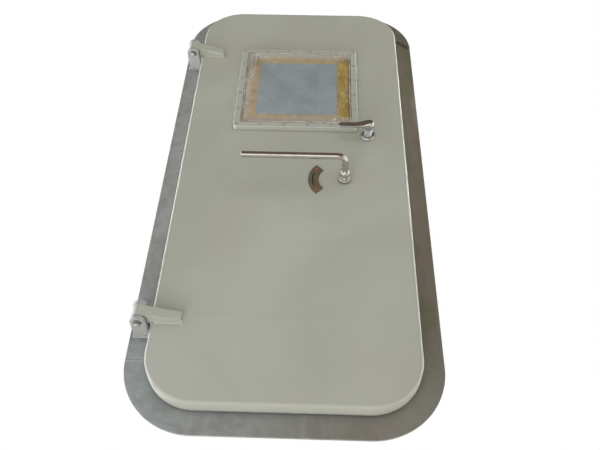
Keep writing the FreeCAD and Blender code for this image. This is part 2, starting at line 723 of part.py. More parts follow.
def screws():
    """Button-headed screws, outside and inside."""
    outside = []
    inside = []
    slim = "screw_head - screw_slope"
    back = "(cover_out - back_frame)"
    for index, (side, up) in enumerate(window_places()):
        shank = disc(f"screw{index}", side, up, SKIN_BACK, "screw_radius", f"{WINDOW_FACE} - {SKIN_BACK}")
        head = taper(f"head{index}", side, up, WINDOW_FACE, "screw_head", slim, "screw_rise")
        outside.append(join(f"window_screw{index}", [shank, head]))
        shank = disc(f"inner_screw{index}", side, up, back, "screw_radius", "back_frame + cover_sheet")
        low = f"({back} - screw_rise)"
        head = taper(f"inner_head{index}", side, up, low, slim, "screw_head", "screw_rise")
        inside.append(join(f"inner_window_screw{index}", [shank, head]))
    keep(group("window_screws", outside), "window_screws")
    keep(group("window_inner_screws", inside), "window_inner_screws")


def tape():
    """Four strips of masking tape along the pane's edges."""
    half = "(window_size / 2 - window_rail - tape_inset)"
    inner = f"({half} - tape_width)"
    strips = []
    for name, side in (("left", f"-{half}"), ("right", inner)):
        up = f"(window_up - {half})"
        strips.append(block(f"tape_{name}", side, up, PANE_FACE, "tape_width", f"2 * {half}", "tape"))
    for name, up in (("low", f"(window_up - {half})"), ("high", f"(window_up + {inner})")):
        strips.append(block(f"tape_{name}", f"-{inner}", up, PANE_FACE, f"2 * {inner}", "tape_width", "tape"))
    keep(group("masking_tape", strips), "masking_tape")


# ---------------------------------------------------------------- hinges on the leaf

def hinge_arms():
    """Tapered arms welded on the leaf's face, with a bushed knuckle between the ears."""
    low_gap = "(washer + loose)"
    bushes = []
    for place, node, drop in (
        ("hinge_low", "hinge_arm_lower", "arm_drop_low"),
        ("hinge_high", "hinge_arm_upper", "arm_drop_high"),
    ):
        up = f"({place} - ear_gap / 2 + {low_gap})"
        tall = f"(ear_gap - {low_gap} - loose)"
        knuckle = post(node + "_knuckle", "-pin_side", up, "pin_out", "knuckle_radius", tall)
        wedge = doc.addObject("Part::Wedge", node + "_wedge")
        tip_low = f"({tall} - arm_tip_width) / 2 - {drop}"
        bind(wedge, Xmin="arm_step", Xmax=f"{tall} - arm_step")
        bind(wedge, X2min=tip_low, X2max=f"{tip_low} + arm_tip_width")
        bind(wedge, Ymin="0", Ymax="arm_reach", Zmax=f"-{LEAF_FACE}", Z2max=f"-{LEAF_FACE}")
        bind(wedge, Zmin=f"-{LEAF_FACE} - arm_root", Z2min=f"-{LEAF_FACE} - arm_tip")
        seat(wedge, "-pin_side", up, "0", FreeCAD.Rotation(FreeCAD.Vector(1, 1, 1), -120))
        bore = post(node + "_bore", "-pin_side", up, "pin_out", "pin_radius + running + bush_wall", tall)
        keep(cut(node, join(node + "_blank", [knuckle, wedge]), [bore]), node)
        shell = post(place + "_shell", "-pin_side", up, "pin_out", "pin_radius + running + bush_wall", tall)
        eye = post(place + "_bush_eye", "-pin_side", up, "pin_out", "pin_radius + running", tall)
        bushes.append(cut(place + "_bush", shell, [eye]))
    keep(group("hinge_bushes", bushes), "hinge_bushes")


# ---------------------------------------------------------------- main handle

def gland():
    """The tube and bronze bush that carry the main spindle through the leaf."""
    depth = f"({LEAF_FACE} + gland_rise - cover_out)"
    tube = disc("gland_shell", "hub_side", "hub_up", "cover_out", "gland_radius", depth)
    hole = disc("gland_eye", "hub_side", "hub_up", "cover_out", "bush_radius", depth)
    keep(cut("handle_gland", tube, [hole]), "handle_gland")
    sleeve = disc("bush_shell", "hub_side", "hub_up", "cover_out", "bush_radius", depth)
    eye = disc("bush_eye", "hub_side", "hub_up", "cover_out", "spindle_radius + running", depth)
    keep(cut("spindle_bush", sleeve, [eye]), "spindle_bush")


def quarter_bend(name, side, up, out, inward):
    """A quarter of a torus that turns a bar from outward to the left."""
    bend = doc.addObject("Part::Torus", name)
    bind(bend, Radius1="bar_bend", Radius2="bar_radius")
    bend.Angle3 = 90.0
    start = 0.0 if inward else -90.0
    spin = FreeCAD.Rotation(FreeCAD.Vector(0, 0, 1), start)
    return seat(bend, side, up, out, spin)


def bent_handle(name, foot, height, inward):
    """A round hub with a leg that rises from it and bends to the left at a height."""
    away = "-1" if inward else "1"
    place = ("hub_side", "hub_up")
    top = f"({foot} + {away} * ({height} - bar_bend))"
    low = f"({foot} + {away} * ball_rise)"
    start = top if inward else low
    leg = disc(name + "_leg", *place, start, "bar_radius", f"({height} - bar_bend - ball_rise)")
    bend_side = "(hub_side - bar_bend)"
    bend = quarter_bend(name + "_bend", bend_side, "hub_up", top, inward)
    level = f"({foot} + {away} * {height})"
    straight = "(bar_length - bar_bend - bar_chamfer)"
    arm = bar(name + "_arm", bend_side, "hub_up", level, "bar_radius", straight)
    end_side = f"({bend_side} - {straight})"
    slim = "bar_radius - bar_chamfer"
    end = bar(name + "_end", end_side, "hub_up", level, "bar_radius", "bar_chamfer", slim)
    sphere = ball(name + "_ball", *place, low, "ball_radius")
    collar_out = f"({foot} - collar)" if inward else foot
    ring = disc(name + "_collar", *place, collar_out, "collar_radius", "collar")
    cone_out = f"({foot} - collar - collar_cone)" if inward else f"({foot} + collar)"
    ends = ("bar_radius", "collar_radius") if inward else ("collar_radius", "bar_radius")
    cone = taper(name + "_cone", *place, cone_out, *ends, "collar_cone")
    bore_out = f"({foot} - socket)" if inward else foot
    bore = disc(name + "_bore", *place, bore_out, "spindle_radius", "socket")
    keep(cut(name, join(name + "_blank", [leg, bend, arm, end, sphere, ring, cone]), [bore]), name)


def crank_pin(name, side, up, layer):
    """A headed pin from the back of a crank through one layer of bars."""
    length = f"({DOG_BACK} - {layer} + link + layer_gap)"
    shank = disc(name, side, up, f"({layer} - link - layer_gap)", "crank_pin", length)
    cap_out = f"({layer} - link - layer_gap - pin_cap)"
    head = disc(name + "_head", side, up, cap_out, "crank_pin + pin_cap", "pin_cap")
    return [shank, head]


def crank_arm(name, side, up, toward):
    """A flat arm with a round end, from a pivot towards its crank pin."""
    across, upward = toward
    half = "(crank_pin + crank_cheek)"
    if across:
        low = f"({side} - crank)" if across < 0 else side
        flat = block(name + "_flat", low, f"({up} - {half})", DOG_BACK, "crank", f"2 * {half}", "dog_plate")
    else:
        low = f"({up} - crank)" if upward < 0 else up
        flat = block(name + "_flat", f"({side} - {half})", low, DOG_BACK, f"2 * {half}", "crank", "dog_plate")
    end_side = f"({side} + {across} * crank)"
    end_up = f"({up} + {upward} * crank)"
    end = disc(name + "_round", end_side, end_up, DOG_BACK, half, "dog_plate")
    return [flat, end]


def main_spindle():
    """The spindle, the two bent handles on it and the rotor that drives the bars."""
    foot_out = f"({LEAF_FACE} + gland_rise + hub_gap)"
    bent_handle("handle_outer", foot_out, "(bar_height - gland_rise - hub_gap)", False)
    bent_handle("handle_inner", DOG_BACK, "bar_height", True)
    low = f"({DOG_BACK} - socket)"
    length = f"({foot_out} + socket - ({low}))"
    keep(disc("main_spindle", "hub_side", "hub_up", low, "spindle_radius", length), "main_spindle")
    pieces = [disc("rotor_boss", "hub_side", "hub_up", DOG_BACK, "rotor_radius", "dog_plate")]
    for name, upward in (("up", 1), ("down", -1)):
        pieces += crank_arm("rotor_" + name, "hub_side", "hub_up", (0, upward))
        pieces += crank_pin("rotor_pin_" + name, "hub_side", f"(hub_up + {upward} * crank)", SECOND_LAYER)
    bore = disc("rotor_bore", "hub_side", "hub_up", DOG_BACK, "spindle_radius", "dog_plate")
    keep(cut("rotor", join("rotor_blank", pieces), [bore]), "rotor")


# ---------------------------------------------------------------- dogs and links

def dogs():
    """Six dogs: a nose that turns behind its wedge and a crank for the upright bar."""
    for hand in ("left", "right"):
        sign = -1 if hand == "left" else 1
        side = f"({sign} * dog_side)"
        for place, up in zip(("lower", "middle", "upper"), DOG_HEIGHTS):
            node = f"dog_{hand}_{place}"
            pieces = [disc(node + "_boss", side, up, DOG_BACK, "boss_radius", "dog_plate")]
            pieces += crank_arm(node + "_crank", side, up, (-sign, 0))
            pieces += crank_pin(node + "_pin", f"({side} - {sign} * crank)", up, FIRST_LAYER)
            if place == "middle":
                pieces += crank_arm(node + "_second", side, up, (0, sign))
                second_up = f"({up} + {sign} * crank)"
                pieces += crank_pin(node + "_second_pin", side, second_up, SECOND_LAYER)
            pieces += dog_nose(node, side, up, sign)
            bore = disc(node + "_bore", side, up, DOG_BACK, "stud_radius + running", "dog_plate")
            keep(cut(node, join(node + "_blank", pieces), [bore]), node)


def dog_nose(node, side, up, sign):
    """The nose, turned back from its wedge by the handle's travel."""
    reach = "(dog_reach - nose_half)"
    swing = value("handle_swing")
    turn = -swing if sign > 0 else 180.0 - swing
    nose = doc.addObject("Part::Box", node + "_nose")
    bind(nose, Length=reach, Width="2 * nose_half", Height="dog_plate")
    rotation = FreeCAD.Rotation(FreeCAD.Vector(1, 0, 0), 90)
    rotation = rotation.multiply(FreeCAD.Rotation(FreeCAD.Vector(0, 0, 1), turn))
    angle = "(-handle_swing)" if sign > 0 else "(180 - handle_swing)"
    low_side = f"({side} + nose_half * sin({angle} * 1 deg))"
    low_up = f"({up} - nose_half * cos({angle} * 1 deg))"
    seat(nose, low_side, low_up, DOG_BACK, rotation)
    tip_side = f"({side} + {reach} * cos({angle} * 1 deg))"
    tip_up = f"({up} + {reach} * sin({angle} * 1 deg))"
    tip = disc(node + "_tip", tip_side, tip_up, DOG_BACK, "nose_half", "dog_plate")
    return [nose, tip]


def dog_studs():
    """Fixed studs with a base on the inner cover and a cap that keeps the dog on."""
    studs = []
    for hand, sign in (("left", -1), ("right", 1)):
        side = f"({sign} * dog_side)"
        for index, up in enumerate(DOG_HEIGHTS):
            name = f"stud_{hand}_{index}"
            low = f"({DOG_BACK} - layer_gap - stud_cap)"
            depth = "cover_out - dog_out - loose"
            base = disc(name + "_base", side, up, "dog_out + loose", "boss_radius", depth)
            pin = disc(name + "_pin", side, up, low, "stud_radius", f"(cover_out - ({low}))")
            cap = disc(name + "_cap", side, up, low, "stud_radius + stud_rim", "stud_cap")
            studs.append(join(name, [base, pin, cap]))
    keep(group("dog_studs", studs), "dog_studs")


def flat_link(name, ends, layer):
    """A flat bar with round ends and a hole at each pivot."""
    plates = []
    holes = []
    out = f"({layer} - link)"
    for index, (side, up, radius) in enumerate(ends):
        plates.append(disc(f"{name}_end{index}", side, up, out, "link_half + link_eye", "link"))
        holes.append(disc(f"{name}_hole{index}", side, up, out, radius, "link"))
    (left, low, _), (right, high, _) = ends[0], ends[-1]
    if low == high:
        corner = (left, f"({low} - link_half)")
        spans = (f"({right} - ({left}))", "2 * link_half")
    else:
        corner = (f"({left} - link_half)", low)
        spans = ("2 * link_half", f"({high} - {low})")
    plates.append(block(name + "_flat", *corner, out, *spans, "link"))
    keep(cut(name, join(name + "_blank", plates), holes), name)


def links():
    """Two short bars from the rotor and two long upright bars between the dogs."""
    fitted = "(crank_pin + running)"
    opened = "(crank_pin + loose)"
    high = "(hub_up + crank)"
    low = "(hub_up - crank)"
    flat_link("link_right", [("hub_side", high, fitted), ("dog_side", high, opened)], SECOND_LAYER)
    flat_link("link_left", [("(-dog_side)", low, opened), ("hub_side", low, fitted)], SECOND_LAYER)
    for hand, side in (("left", "(-dog_side + crank)"), ("right", "(dog_side - crank)")):
        ends = [
            (side, DOG_HEIGHTS[0], opened),
            (side, DOG_HEIGHTS[1], fitted),
            (side, DOG_HEIGHTS[2], opened),
        ]
        flat_link("upright_bar_" + hand, ends, FIRST_LAYER)


# ---------------------------------------------------------------- lever latch

def lever(name, foot, inward):
    """A neck that rises from the rose, a rounded elbow and a tapered arm to the left."""
    away = -1 if inward else 1
    place = ("lever_side", "lever_up")
    level = f"({foot} + {away} * lever_height)"
    start = level if inward else foot
    neck = disc(name + "_neck", *place, start, "neck_radius", "lever_height")
    elbow = ball(name + "_elbow", *place, level, "elbow_radius")
    slim = "(lever_radius - lever_taper)"
    reach = f"(lever_length - {slim})"
    arm = bar(name + "_arm", *place, level, "lever_radius", reach, slim)
    tip = ball(name + "_tip", f"(lever_side - {reach})", "lever_up", level, slim)
    hole_out = f"({foot} - square_depth)" if inward else foot
    hole = block(name + "_socket", *SQUARE_CORNER, hole_out, "square", "square", "square_depth")
    keep(cut(name, join(name + "_blank", [neck, elbow, arm, tip]), [hole]), name)


def latch():
    """Roses, levers and their square spindle, the lock case and its bolt."""
    for name, out in (("rose_outer", LEAF_FACE), ("rose_inner", "(cover_out - rose)")):
        rose = disc(name + "_blank", "lever_side", "lever_up", out, "rose_radius", "rose")
        doc.recompute()
        rim = -value(f"({LEAF_FACE} + rose)") if name == "rose_outer" else -value("(cover_out - rose)")
        rounding = value("rose_round")
        edges = [
            (number, rounding, rounding)
            for number, edge in enumerate(rose.Shape.Edges, start=1)
            if abs(edge.BoundBox.YMin - rim) < 0.01 and abs(edge.BoundBox.YMax - rim) < 0.01
        ]
        rounded = doc.addObject("Part::Fillet", name + "_rounded")
        rounded.Base = rose
        rounded.Edges = edges
        eye = disc(name + "_eye", "lever_side", "lever_up", out, "neck_radius + play", "rose")
        keep(cut(name, rounded, [eye]), name)
    lever("lever_outer", LEAF_FACE, False)
    lever("lever_inner", "cover_out", True)
    low = "(cover_out - square_depth)"
    length = f"({LEAF_FACE} + square_depth - {low})"
    keep(block("latch_spindle", *SQUARE_CORNER, low, "square", "square", length), "latch_spindle")
    lock_case()
    bolt_side = f"({INNER_SPACE} - bolt_length)"
    bolt_up = "(lever_up - bolt_height / 2)"
    bolt_back = "(bolt_out - bolt_depth)"
    bolt = block("latch_bolt", bolt_side, bolt_up, bolt_back, "bolt_length", "bolt_height", "bolt_depth")
    keep(bolt, "latch_bolt")


def lock_case():
    """A sheet-metal case around the bolt and the square spindle, open where the bolt leaves."""
    low = "(lever_up - case_half)"
    back = "(cover_out + cover_sheet + case_gap)"
    width = f"({INNER_SPACE} - case_sheet - case_side)"
    shell = block("case_shell", "case_side", low, back, width, "2 * case_half", "case_depth")
    room = block(
        "case_room", "(case_side + case_sheet)", f"({low} + case_sheet)", f"({back} + case_sheet)",
        width, "(2 * case_half - 2 * case_sheet)", "(case_depth - 2 * case_sheet)",
    )
    eye = disc("case_eye", "lever_side", "lever_up", back, "neck_radius", "case_depth")
    keep(cut("lock_case", shell, [room, eye]), "lock_case")


# ---------------------------------------------------------------- indicator

def indicator():
    """A curved plate beside the handle's hub, with a slot and a red mark at each end."""
    place = ("dial_side", "dial_up", LEAF_FACE)
    start = 180.0 - value("dial_spread / 2")
    blank = disc("dial_blank", *place, "dial_outer", "dial_plate", "dial_spread", start)
    inside = disc("dial_inside", *place, "dial_inner", "dial_plate")
    slot_start = 180.0 - value("slot_spread / 2")
    slot = disc("slot_outer", *place, "slot_ring + slot_half", "dial_plate", "slot_spread", slot_start)
    core = disc("slot_inner", *place, "slot_ring - slot_half", "dial_plate")
    groove = cut("dial_slot", slot, [core])
    keep(cut("indicator_plate", blank, [inside, groove]), "indicator_plate")
    marks = []
    for name, sign in (("shut", "-"), ("open", "")):
        side = "(dial_side - mark_ring * cos(mark_angle * 1 deg))"
        up = f"(dial_up + {sign}mark_ring * sin(mark_angle * 1 deg))"
        out = f"({LEAF_FACE} + dial_plate)"
        marks.append(disc("mark_" + name, side, up, out, "mark_radius", "mark_rise"))
    keep(group("indicator_marks", marks), "indicator_marks")


DOG_HEIGHTS = ("(hub_up - dog_down)", "hub_up", "(hub_up + dog_rise)")

for build in (
    flange_pieces, coaming, hinge_ears, hinge_pins, keepers,
    leaf_skin, gasket, stiffeners, insulation, inner_cover, window, hinge_arms,
    gland, main_spindle, dogs, dog_studs, links, latch, indicator,
):
    build()

doc.recompute()

# ---------------------------------------------------------------- test and write

for obj in doc.Objects:
    if "Invalid" in obj.State or "Error" in obj.State:
        raise RuntimeError(f"{obj.Name}: {obj.State}")
for name, obj in nodes.items():
    if obj.Shape.isNull() or not obj.Shape.isValid() or not obj.Shape.Solids:
        raise RuntimeError(f"{name}: bad shape")

os.makedirs("parts", exist_ok=True)
for name, obj in nodes.items():
    obj.Shape.exportStep(f"parts/{name}.step")
print(len(nodes), "sub-parts")
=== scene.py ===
"""Looks for the weathertight hatch door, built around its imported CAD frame.

Units are metres, in the row's frame: +Z up the door, -Y to the outside, hinges at -X.
"""

import json
import math

import bpy
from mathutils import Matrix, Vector
from mathutils.noise import noise


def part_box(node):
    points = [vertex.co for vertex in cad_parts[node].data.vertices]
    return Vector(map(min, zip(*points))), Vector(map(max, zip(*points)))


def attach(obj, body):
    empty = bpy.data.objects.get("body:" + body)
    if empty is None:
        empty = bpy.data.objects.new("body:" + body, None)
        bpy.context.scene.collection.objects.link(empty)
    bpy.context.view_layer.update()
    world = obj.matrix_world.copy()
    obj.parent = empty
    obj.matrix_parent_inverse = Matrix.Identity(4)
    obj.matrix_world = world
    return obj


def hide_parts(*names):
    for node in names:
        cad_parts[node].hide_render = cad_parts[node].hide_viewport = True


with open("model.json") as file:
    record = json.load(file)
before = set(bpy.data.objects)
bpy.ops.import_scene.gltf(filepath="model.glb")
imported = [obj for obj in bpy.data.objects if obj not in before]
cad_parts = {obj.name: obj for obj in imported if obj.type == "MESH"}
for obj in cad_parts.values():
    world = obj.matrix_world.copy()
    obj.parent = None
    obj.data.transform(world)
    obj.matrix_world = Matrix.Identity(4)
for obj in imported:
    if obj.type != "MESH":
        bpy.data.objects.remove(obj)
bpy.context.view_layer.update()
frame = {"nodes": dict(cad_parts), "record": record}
NODES = frame["nodes"]
MM = 0.001
OUT = Vector((0.0, -1.0, 0.0))
IN = -OUT
TAPE = TAPE_LOW, TAPE_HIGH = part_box("masking_tape")
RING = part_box("coaming_ring")
RING_CORNER = RING[1].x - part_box("flange_corner_top_right")[0].x
FLANGE_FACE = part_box("flange_bar_left")[0].y


# ---------------- node graphs

class Graph:
    """Short calls that add nodes to one node tree and link them."""

    def __init__(self, tree, material=None):
        self.tree = tree
        self.material = material
        self.shader = tree.nodes.get("Principled BSDF")
        self.axes = None
        self.place = None

    def node(self, kind, inputs=(), **settings):
        made = self.tree.nodes.new("ShaderNode" + kind)
        for name, setting in settings.items():
            setattr(made, name, setting)
        for key, given in dict(inputs).items():
            self.feed(made.inputs[key], given)
        return made

    def feed(self, socket, given):
        """Links a socket or sets its value, unless nothing is given; a colour needs no alpha."""
        if isinstance(given, bpy.types.NodeSocket):
            self.tree.links.new(given, socket)
        elif given is not None:
            socket.default_value = (*given, 1.0) if socket.type == "RGBA" else given

    def where(self):
        """The point on the piece, in the row frame at rest."""
        if self.place is None:
            self.place = self.node("TexCoord").outputs["Object"]
        return self.place

    def axis(self, index):
        if self.axes is None:
            self.axes = self.node("SeparateXYZ", {0: self.where()})
        return self.axes.outputs[index]

    def noise(self, scale, detail=4.0, rough=0.5, bend=0.0, stretch=None):
        vector = self.where()
        if stretch:
            vector = self.node("VectorMath", {0: vector, 1: stretch}, operation="MULTIPLY").outputs[0]
        settings = {"Vector": vector, "Scale": scale, "Detail": detail}
        settings.update({"Roughness": rough, "Distortion": bend})
        return self.node("TexNoise", settings).outputs["Fac"]

    def cells(self, scale, output="Distance"):
        return self.node("TexVoronoi", {"Vector": self.where(), "Scale": scale}).outputs[output]

    def ramp(self, given, low, high, to_low=0.0, to_high=1.0):
        settings = {"Value": given, "From Min": low, "From Max": high, "To Min": to_low, "To Max": to_high}
        return self.node("MapRange", settings, interpolation_type="SMOOTHSTEP").outputs[0]

    def cloud(self, kind, low, high, to_low=0.0, to_high=1.0, stretch=None):
        """A noise of (scale, detail, roughness, bend), ramped between two of its levels."""
        return self.ramp(self.noise(*kind, stretch=stretch), low, high, to_low, to_high)

    def layer(self, colour, name, tone, kind, low, high, share=1.0, stretch=None):
        patches = self.cloud(kind, low, high, 0.0, share, stretch)
        made = self.mix(patches, colour, tone)
        made.node.label = name
        return made

    def layers(self, colour, *layers):
        """Lays tones over a colour in patches of noise, one after another.

        A layer is its name, its tone, the noise's (scale, detail, roughness, bend), the levels at which the
        patches start and are full and, where given, their greatest share and the stretch of the noise.
        """
        for layer in layers:
            colour = self.layer(colour, *layer)
        return colour

    def math(self, operation, first, second=0.0, third=0.0):
        return self.node("Math", {0: first, 1: second, 2: third}, operation=operation).outputs[0]

    def times(self, first, second):
        return self.math("MULTIPLY", first, second)

    def away(self, given, level):
        """How far a value is from a level, either way."""
        return self.math("ABSOLUTE", self.math("SUBTRACT", given, level))

    def mix(self, share, first, second):
        return self.node("Mix", {0: share, 6: first, 7: second}, data_type="RGBA").outputs[2]

    def bump(self, height, depth, strength, normal=None):
        """Relief up to "depth" mm deep."""
        settings = {"Height": height, "Distance": depth * MM, "Strength": strength, "Normal": normal}
        return self.node("Bump", settings).outputs[0]

    def grain(self, kind, depth, strength, normal=None):
        return self.bump(self.noise(*kind), depth, strength, normal)

    def soft_edge(self, radius):
        return self.node("Bevel", {"Radius": radius * MM}, samples=4).outputs[0]

    def edges(self, radius):
        """0.75 along sharp corners, 0 on flat faces."""
        flat = self.node("NewGeometry").outputs["Normal"]
        turned = {0: self.soft_edge(radius), 1: flat}
        made = self.node("VectorMath", turned, operation="DOT_PRODUCT")
        return self.ramp(made.outputs["Value"], 0.985, 0.90, 0.0, 0.75)

    def crevice_shade(self, colour, shade_tone, reach):
        """Paints shade into a colour where surfaces meet within a reach in mm, from ambient occlusion."""
        closed = self.node("AmbientOcclusion", {"Distance": reach * MM}, samples=4).outputs["AO"]
        return self.mix(self.ramp(closed, 0.62, 0.25, 0.0, 0.85), colour, shade_tone)

    def closure(self, kind, **inputs):
        return self.node(kind, inputs).outputs[0]

    def blend(self, share, first, second):
        return self.node("MixShader", {0: share, 1: first, 2: second}).outputs[0]

    def dress(self, colour, rough, normal=None, **inputs):
        """Sets the Principled shader's inputs and gives the material back."""
        inputs.update({"Base_Color": colour, "Roughness": rough, "Normal": normal})
        for key, given in inputs.items():
            self.feed(self.shader.inputs[key.replace("_", " ")], given)
        return self.material

    def surface(self, closure):
        self.tree.links.new(closure, self.tree.nodes["Material Output"].inputs["Surface"])
        return self.material


def new_look(name):
    """The graph of a new material."""
    material = bpy.data.materials.new(name)
    material.use_nodes = True
    return Graph(material.node_tree, material)


def shade(tone, share):
    return tuple(v * share for v in tone)


# ---------------- camera, light and stage

CAMERA_AT = (0.0794, -1.8011, -0.7397)
CAMERA_TURN = (129.37, -1.811, 0.13)  # degrees about X, Y and Z
LENS = 42.0
SENSOR = 36.0

# each lamp's name, place, aim, size, watts, colour and spread in degrees
LAMPS = (
    ("key", (-1.1, -1.9, -2.7), (0.0, 0.0, 0.85), 2.2, 40.0, (1.0, 0.99, 0.96), 180.0),
    ("low_key", (-1.0, -1.1, -3.0), (0.0, 0.0, 0.95), 0.7, 24.0, (1.0, 0.99, 0.97), 180.0),
    ("fill", (0.6, -3.4, 2.2), (0.0, 0.0, 1.1), 2.0, 16.0, (1.0, 0.97, 0.93), 180.0),
    ("rim_left", (-3.2, 0.30, 1.0), (0.0, 0.0, 0.95), 1.4, 26.0, (0.93, 0.95, 1.0), 50.0),
    ("rim_right", (3.2, 0.30, 1.35), (0.0, 0.0, 1.25), 1.4, 30.0, (0.94, 0.95, 1.0), 55.0),
)

AMBIENT_ABOVE = 0.42
AMBIENT_BELOW = 1.00
DARK_SIDE = (0.130, 0.104, 0.080)
SKY_COLOUR = (1.02, 1.02, 1.0)
SKY_LEFT = (0.80, 0.83, 0.86)
SKY_RIGHT = (0.94, 0.90, 0.83)
SHADE_RIGHT = (0.44, 0.37, 0.31)


def add_object(name, data):
    obj = bpy.data.objects.new(name, data)
    bpy.context.scene.collection.objects.link(obj)
    return obj


def add_camera():
    data = bpy.data.cameras.new("camera")
    data.lens = LENS
    data.sensor_width = SENSOR
    data.clip_end = 50.0
    camera = add_object("camera", data)
    camera.location = CAMERA_AT
    camera.rotation_euler = [math.radians(a) for a in CAMERA_TURN]
    bpy.context.scene.camera = camera


def add_lamp(name, place, aim, size, power, colour, spread):
    data = bpy.data.lights.new(name, "AREA")
    data.spread = math.radians(spread)
    data.shape = "DISK"
    data.size = size
    data.energy = power
    data.color = colour
    lamp = add_object(name, data)
    lamp.location = place
    lamp.visible_glossy = False
    lamp.rotation_euler = (Vector(aim) - Vector(place)).to_track_quat("-Z", "Y").to_euler()


def add_world():
    """White where seen, graded from below where it lights, and a patterned studio where mirrored."""
    world = bpy.data.worlds.new("studio")
    world.use_nodes = True
    graph = Graph(world.node_tree)
    graph.place = graph.node("TexCoord").outputs["Generated"]
    across, depth, height = (graph.axis(index) for index in range(3))
    below = graph.times(graph.ramp(height, -0.40, -0.52), graph.ramp(height, -0.99, -0.94))
    aside = graph.ramp(graph.math("ABSOLUTE", across), 0.68, 0.86)
    side_sky = graph.mix(graph.ramp(across, -0.3, 0.3), SKY_LEFT, SKY_RIGHT)
    ground = graph.mix(graph.ramp(across, 0.12, 0.28), SKY_COLOUR, SHADE_RIGHT)
    colour = graph.mix(below, DARK_SIDE, ground)
    colour = graph.mix(aside, colour, side_sky)
    colour = graph.mix(graph.ramp(depth, -0.15, 0.25), colour, SKY_COLOUR)
    level = graph.ramp(height, 0.7, -0.9, AMBIENT_ABOVE, AMBIENT_BELOW)
    mirrored = graph.closure("Background", Color=colour, Strength=1.15)
    even = graph.closure("Background", Color=(1.0, 0.99, 0.97), Strength=level)
    seen = graph.closure("Background", Color=(1.0, 1.0, 1.0), Strength=1.0)
    path = graph.node("LightPath").outputs
    light = graph.blend(path["Is Diffuse Ray"], mirrored, even)
    shown = graph.blend(path["Is Camera Ray"], light, seen)
    graph.tree.links.new(shown, graph.tree.nodes["World Output"].inputs["Surface"])
    bpy.context.scene.world = world


def add_floor():
    """A pale floor that can be looked through from below."""
    half = 80.0
    corners = [(-half, -half, 0), (half, -half, 0), (half, half, 0), (-half, half, 0)]
    mesh = bpy.data.meshes.new("floor")
    mesh.from_pydata(corners, [], [(0, 1, 2, 3)])
    floor = add_object("floor", mesh)
    floor.visible_shadow = False
    floor.visible_glossy = False
    floor.visible_diffuse = False
    graph = new_look("floor")
    glow = {"Emission_Color": (1.0, 1.0, 0.99), "Emission_Strength": 0.62}
    graph.dress((0.30, 0.30, 0.295), 0.9, Specular_IOR_Level=0.0, **glow)
    back = graph.node("NewGeometry").outputs["Backfacing"]
    shown = graph.blend(back, graph.shader.outputs[0], graph.closure("BsdfTransparent"))
    mesh.materials.append(graph.surface(shown))


# ---------------- looks

PAINT_LIGHT = (0.405, 0.412, 0.368)
PAINT_DARK = (0.360, 0.365, 0.322)
PAINT_OLIVE = (0.378, 0.385, 0.318)

# each metal's colour, stain, roughness range and stain scale, then its metallic share, the stretch of its
# tool marks and their depth in mm where they are not the usual ones
METALS = {
    "zinc_steel": ((0.50, 0.50, 0.48), (0.40, 0.40, 0.37), (0.34, 0.52), 22.0, 0.8),
    "bright_zinc": ((0.62, 0.62, 0.60), (0.52, 0.52, 0.48), (0.30, 0.46), 40.0, 0.8),
    "dark_steel": ((0.36, 0.36, 0.35), (0.24, 0.23, 0.22), (0.36, 0.52), 60.0, 0.8),
    "satin_steel": ((0.62, 0.575, 0.525), (0.50, 0.455, 0.405), (0.36, 0.50), 30.0, 0.75),
    "satin_nickel": ((0.50, 0.51, 0.51), (0.44, 0.45, 0.45), (0.22, 0.36), 30.0, 0.45),
    "polished_steel": ((0.70, 0.67, 0.62), (0.60, 0.57, 0.53), (0.09, 0.17), 14.0, 1.0, (0.05, 1.0, 1.0)),
    "chrome": ((0.66, 0.66, 0.67), (0.58, 0.57, 0.58), (0.05, 0.13), 18.0, 1.0, None, 0.01),
    "latch_steel": ((0.62, 0.61, 0.58), (0.5, 0.49, 0.46), (0.2, 0.34), 30.0, 1.0, (1, 1, 0.08)),
    "bronze": ((0.52, 0.34, 0.15), (0.36, 0.22, 0.10), (0.28, 0.42), 40.0, 1.0, (1, 1, 0.1)),
}


def paint_look(name, ribs=(), tint=1.0, cool=0.0, soft=1.4):
    """Satin enamel with painted highlights along sharp edges and painted shade in corners: stiffeners at the
    heights in "ribs" show through, edges are softened over "soft" mm.
    """
    graph = new_look(name)
    cast = Vector((tint, tint * (1 + cool * 0.3), tint * (1 + cool)))
    light, dark, olive = (tuple(cast * Vector(tone)) for tone in (PAINT_LIGHT, PAINT_DARK, PAINT_OLIVE))
    pale = shade(light, 1.35)
    colour = graph.layers(
        light,
        ("clouds", dark, (2.2, 3.0, 0.55, 0.6), 0.35, 0.68),
        ("drift", olive, (4.5, 2.0, 0.4), 0.42, 0.66, 0.55, (1.0, 1.0, 0.45)),
        ("runs", shade(dark, 0.80), (9.0, 5.0, 0.6), 0.58, 0.76, 0.12, (2.4, 2.4, 0.22)),
        ("dust", pale, (140.0, 3.0, 0.6), 0.70, 0.78, 0.30),
    )
    specks = graph.ramp(graph.cells(48.0), 0.055, 0.030, 0.0, 0.55)
    sparse = graph.cloud((7.0, 1.0), 0.60, 0.66)
    colour = graph.mix(graph.times(specks, sparse), colour, (0.13, 0.11, 0.085))
    # painted highlight: paler paint along sharp edges, as if light caught them
    colour = graph.mix(graph.edges(2.2), colour, pale)
    # painted shade: darker paint where parts meet, within 9 mm
    colour = graph.crevice_shade(colour, (0.085, 0.078, 0.058), 9.0)
    gloss = graph.cloud((17.0, 4.0, 0.6), 0.3, 0.75, 0.36, 0.50)
    normal = graph.grain((3.0, 1.0, 0.4), 4.0, 0.30, graph.soft_edge(soft))
    for height in ribs:
        rib = graph.ramp(graph.away(graph.axis(2), height), 0.020, 0.0)
        normal = graph.bump(rib, 0.9, 0.5, normal)
    normal = graph.grain((420.0, 2.0, 0.5), 0.12, 0.35, normal)
    return graph.dress(colour, gloss, normal, Specular_IOR_Level=0.42)


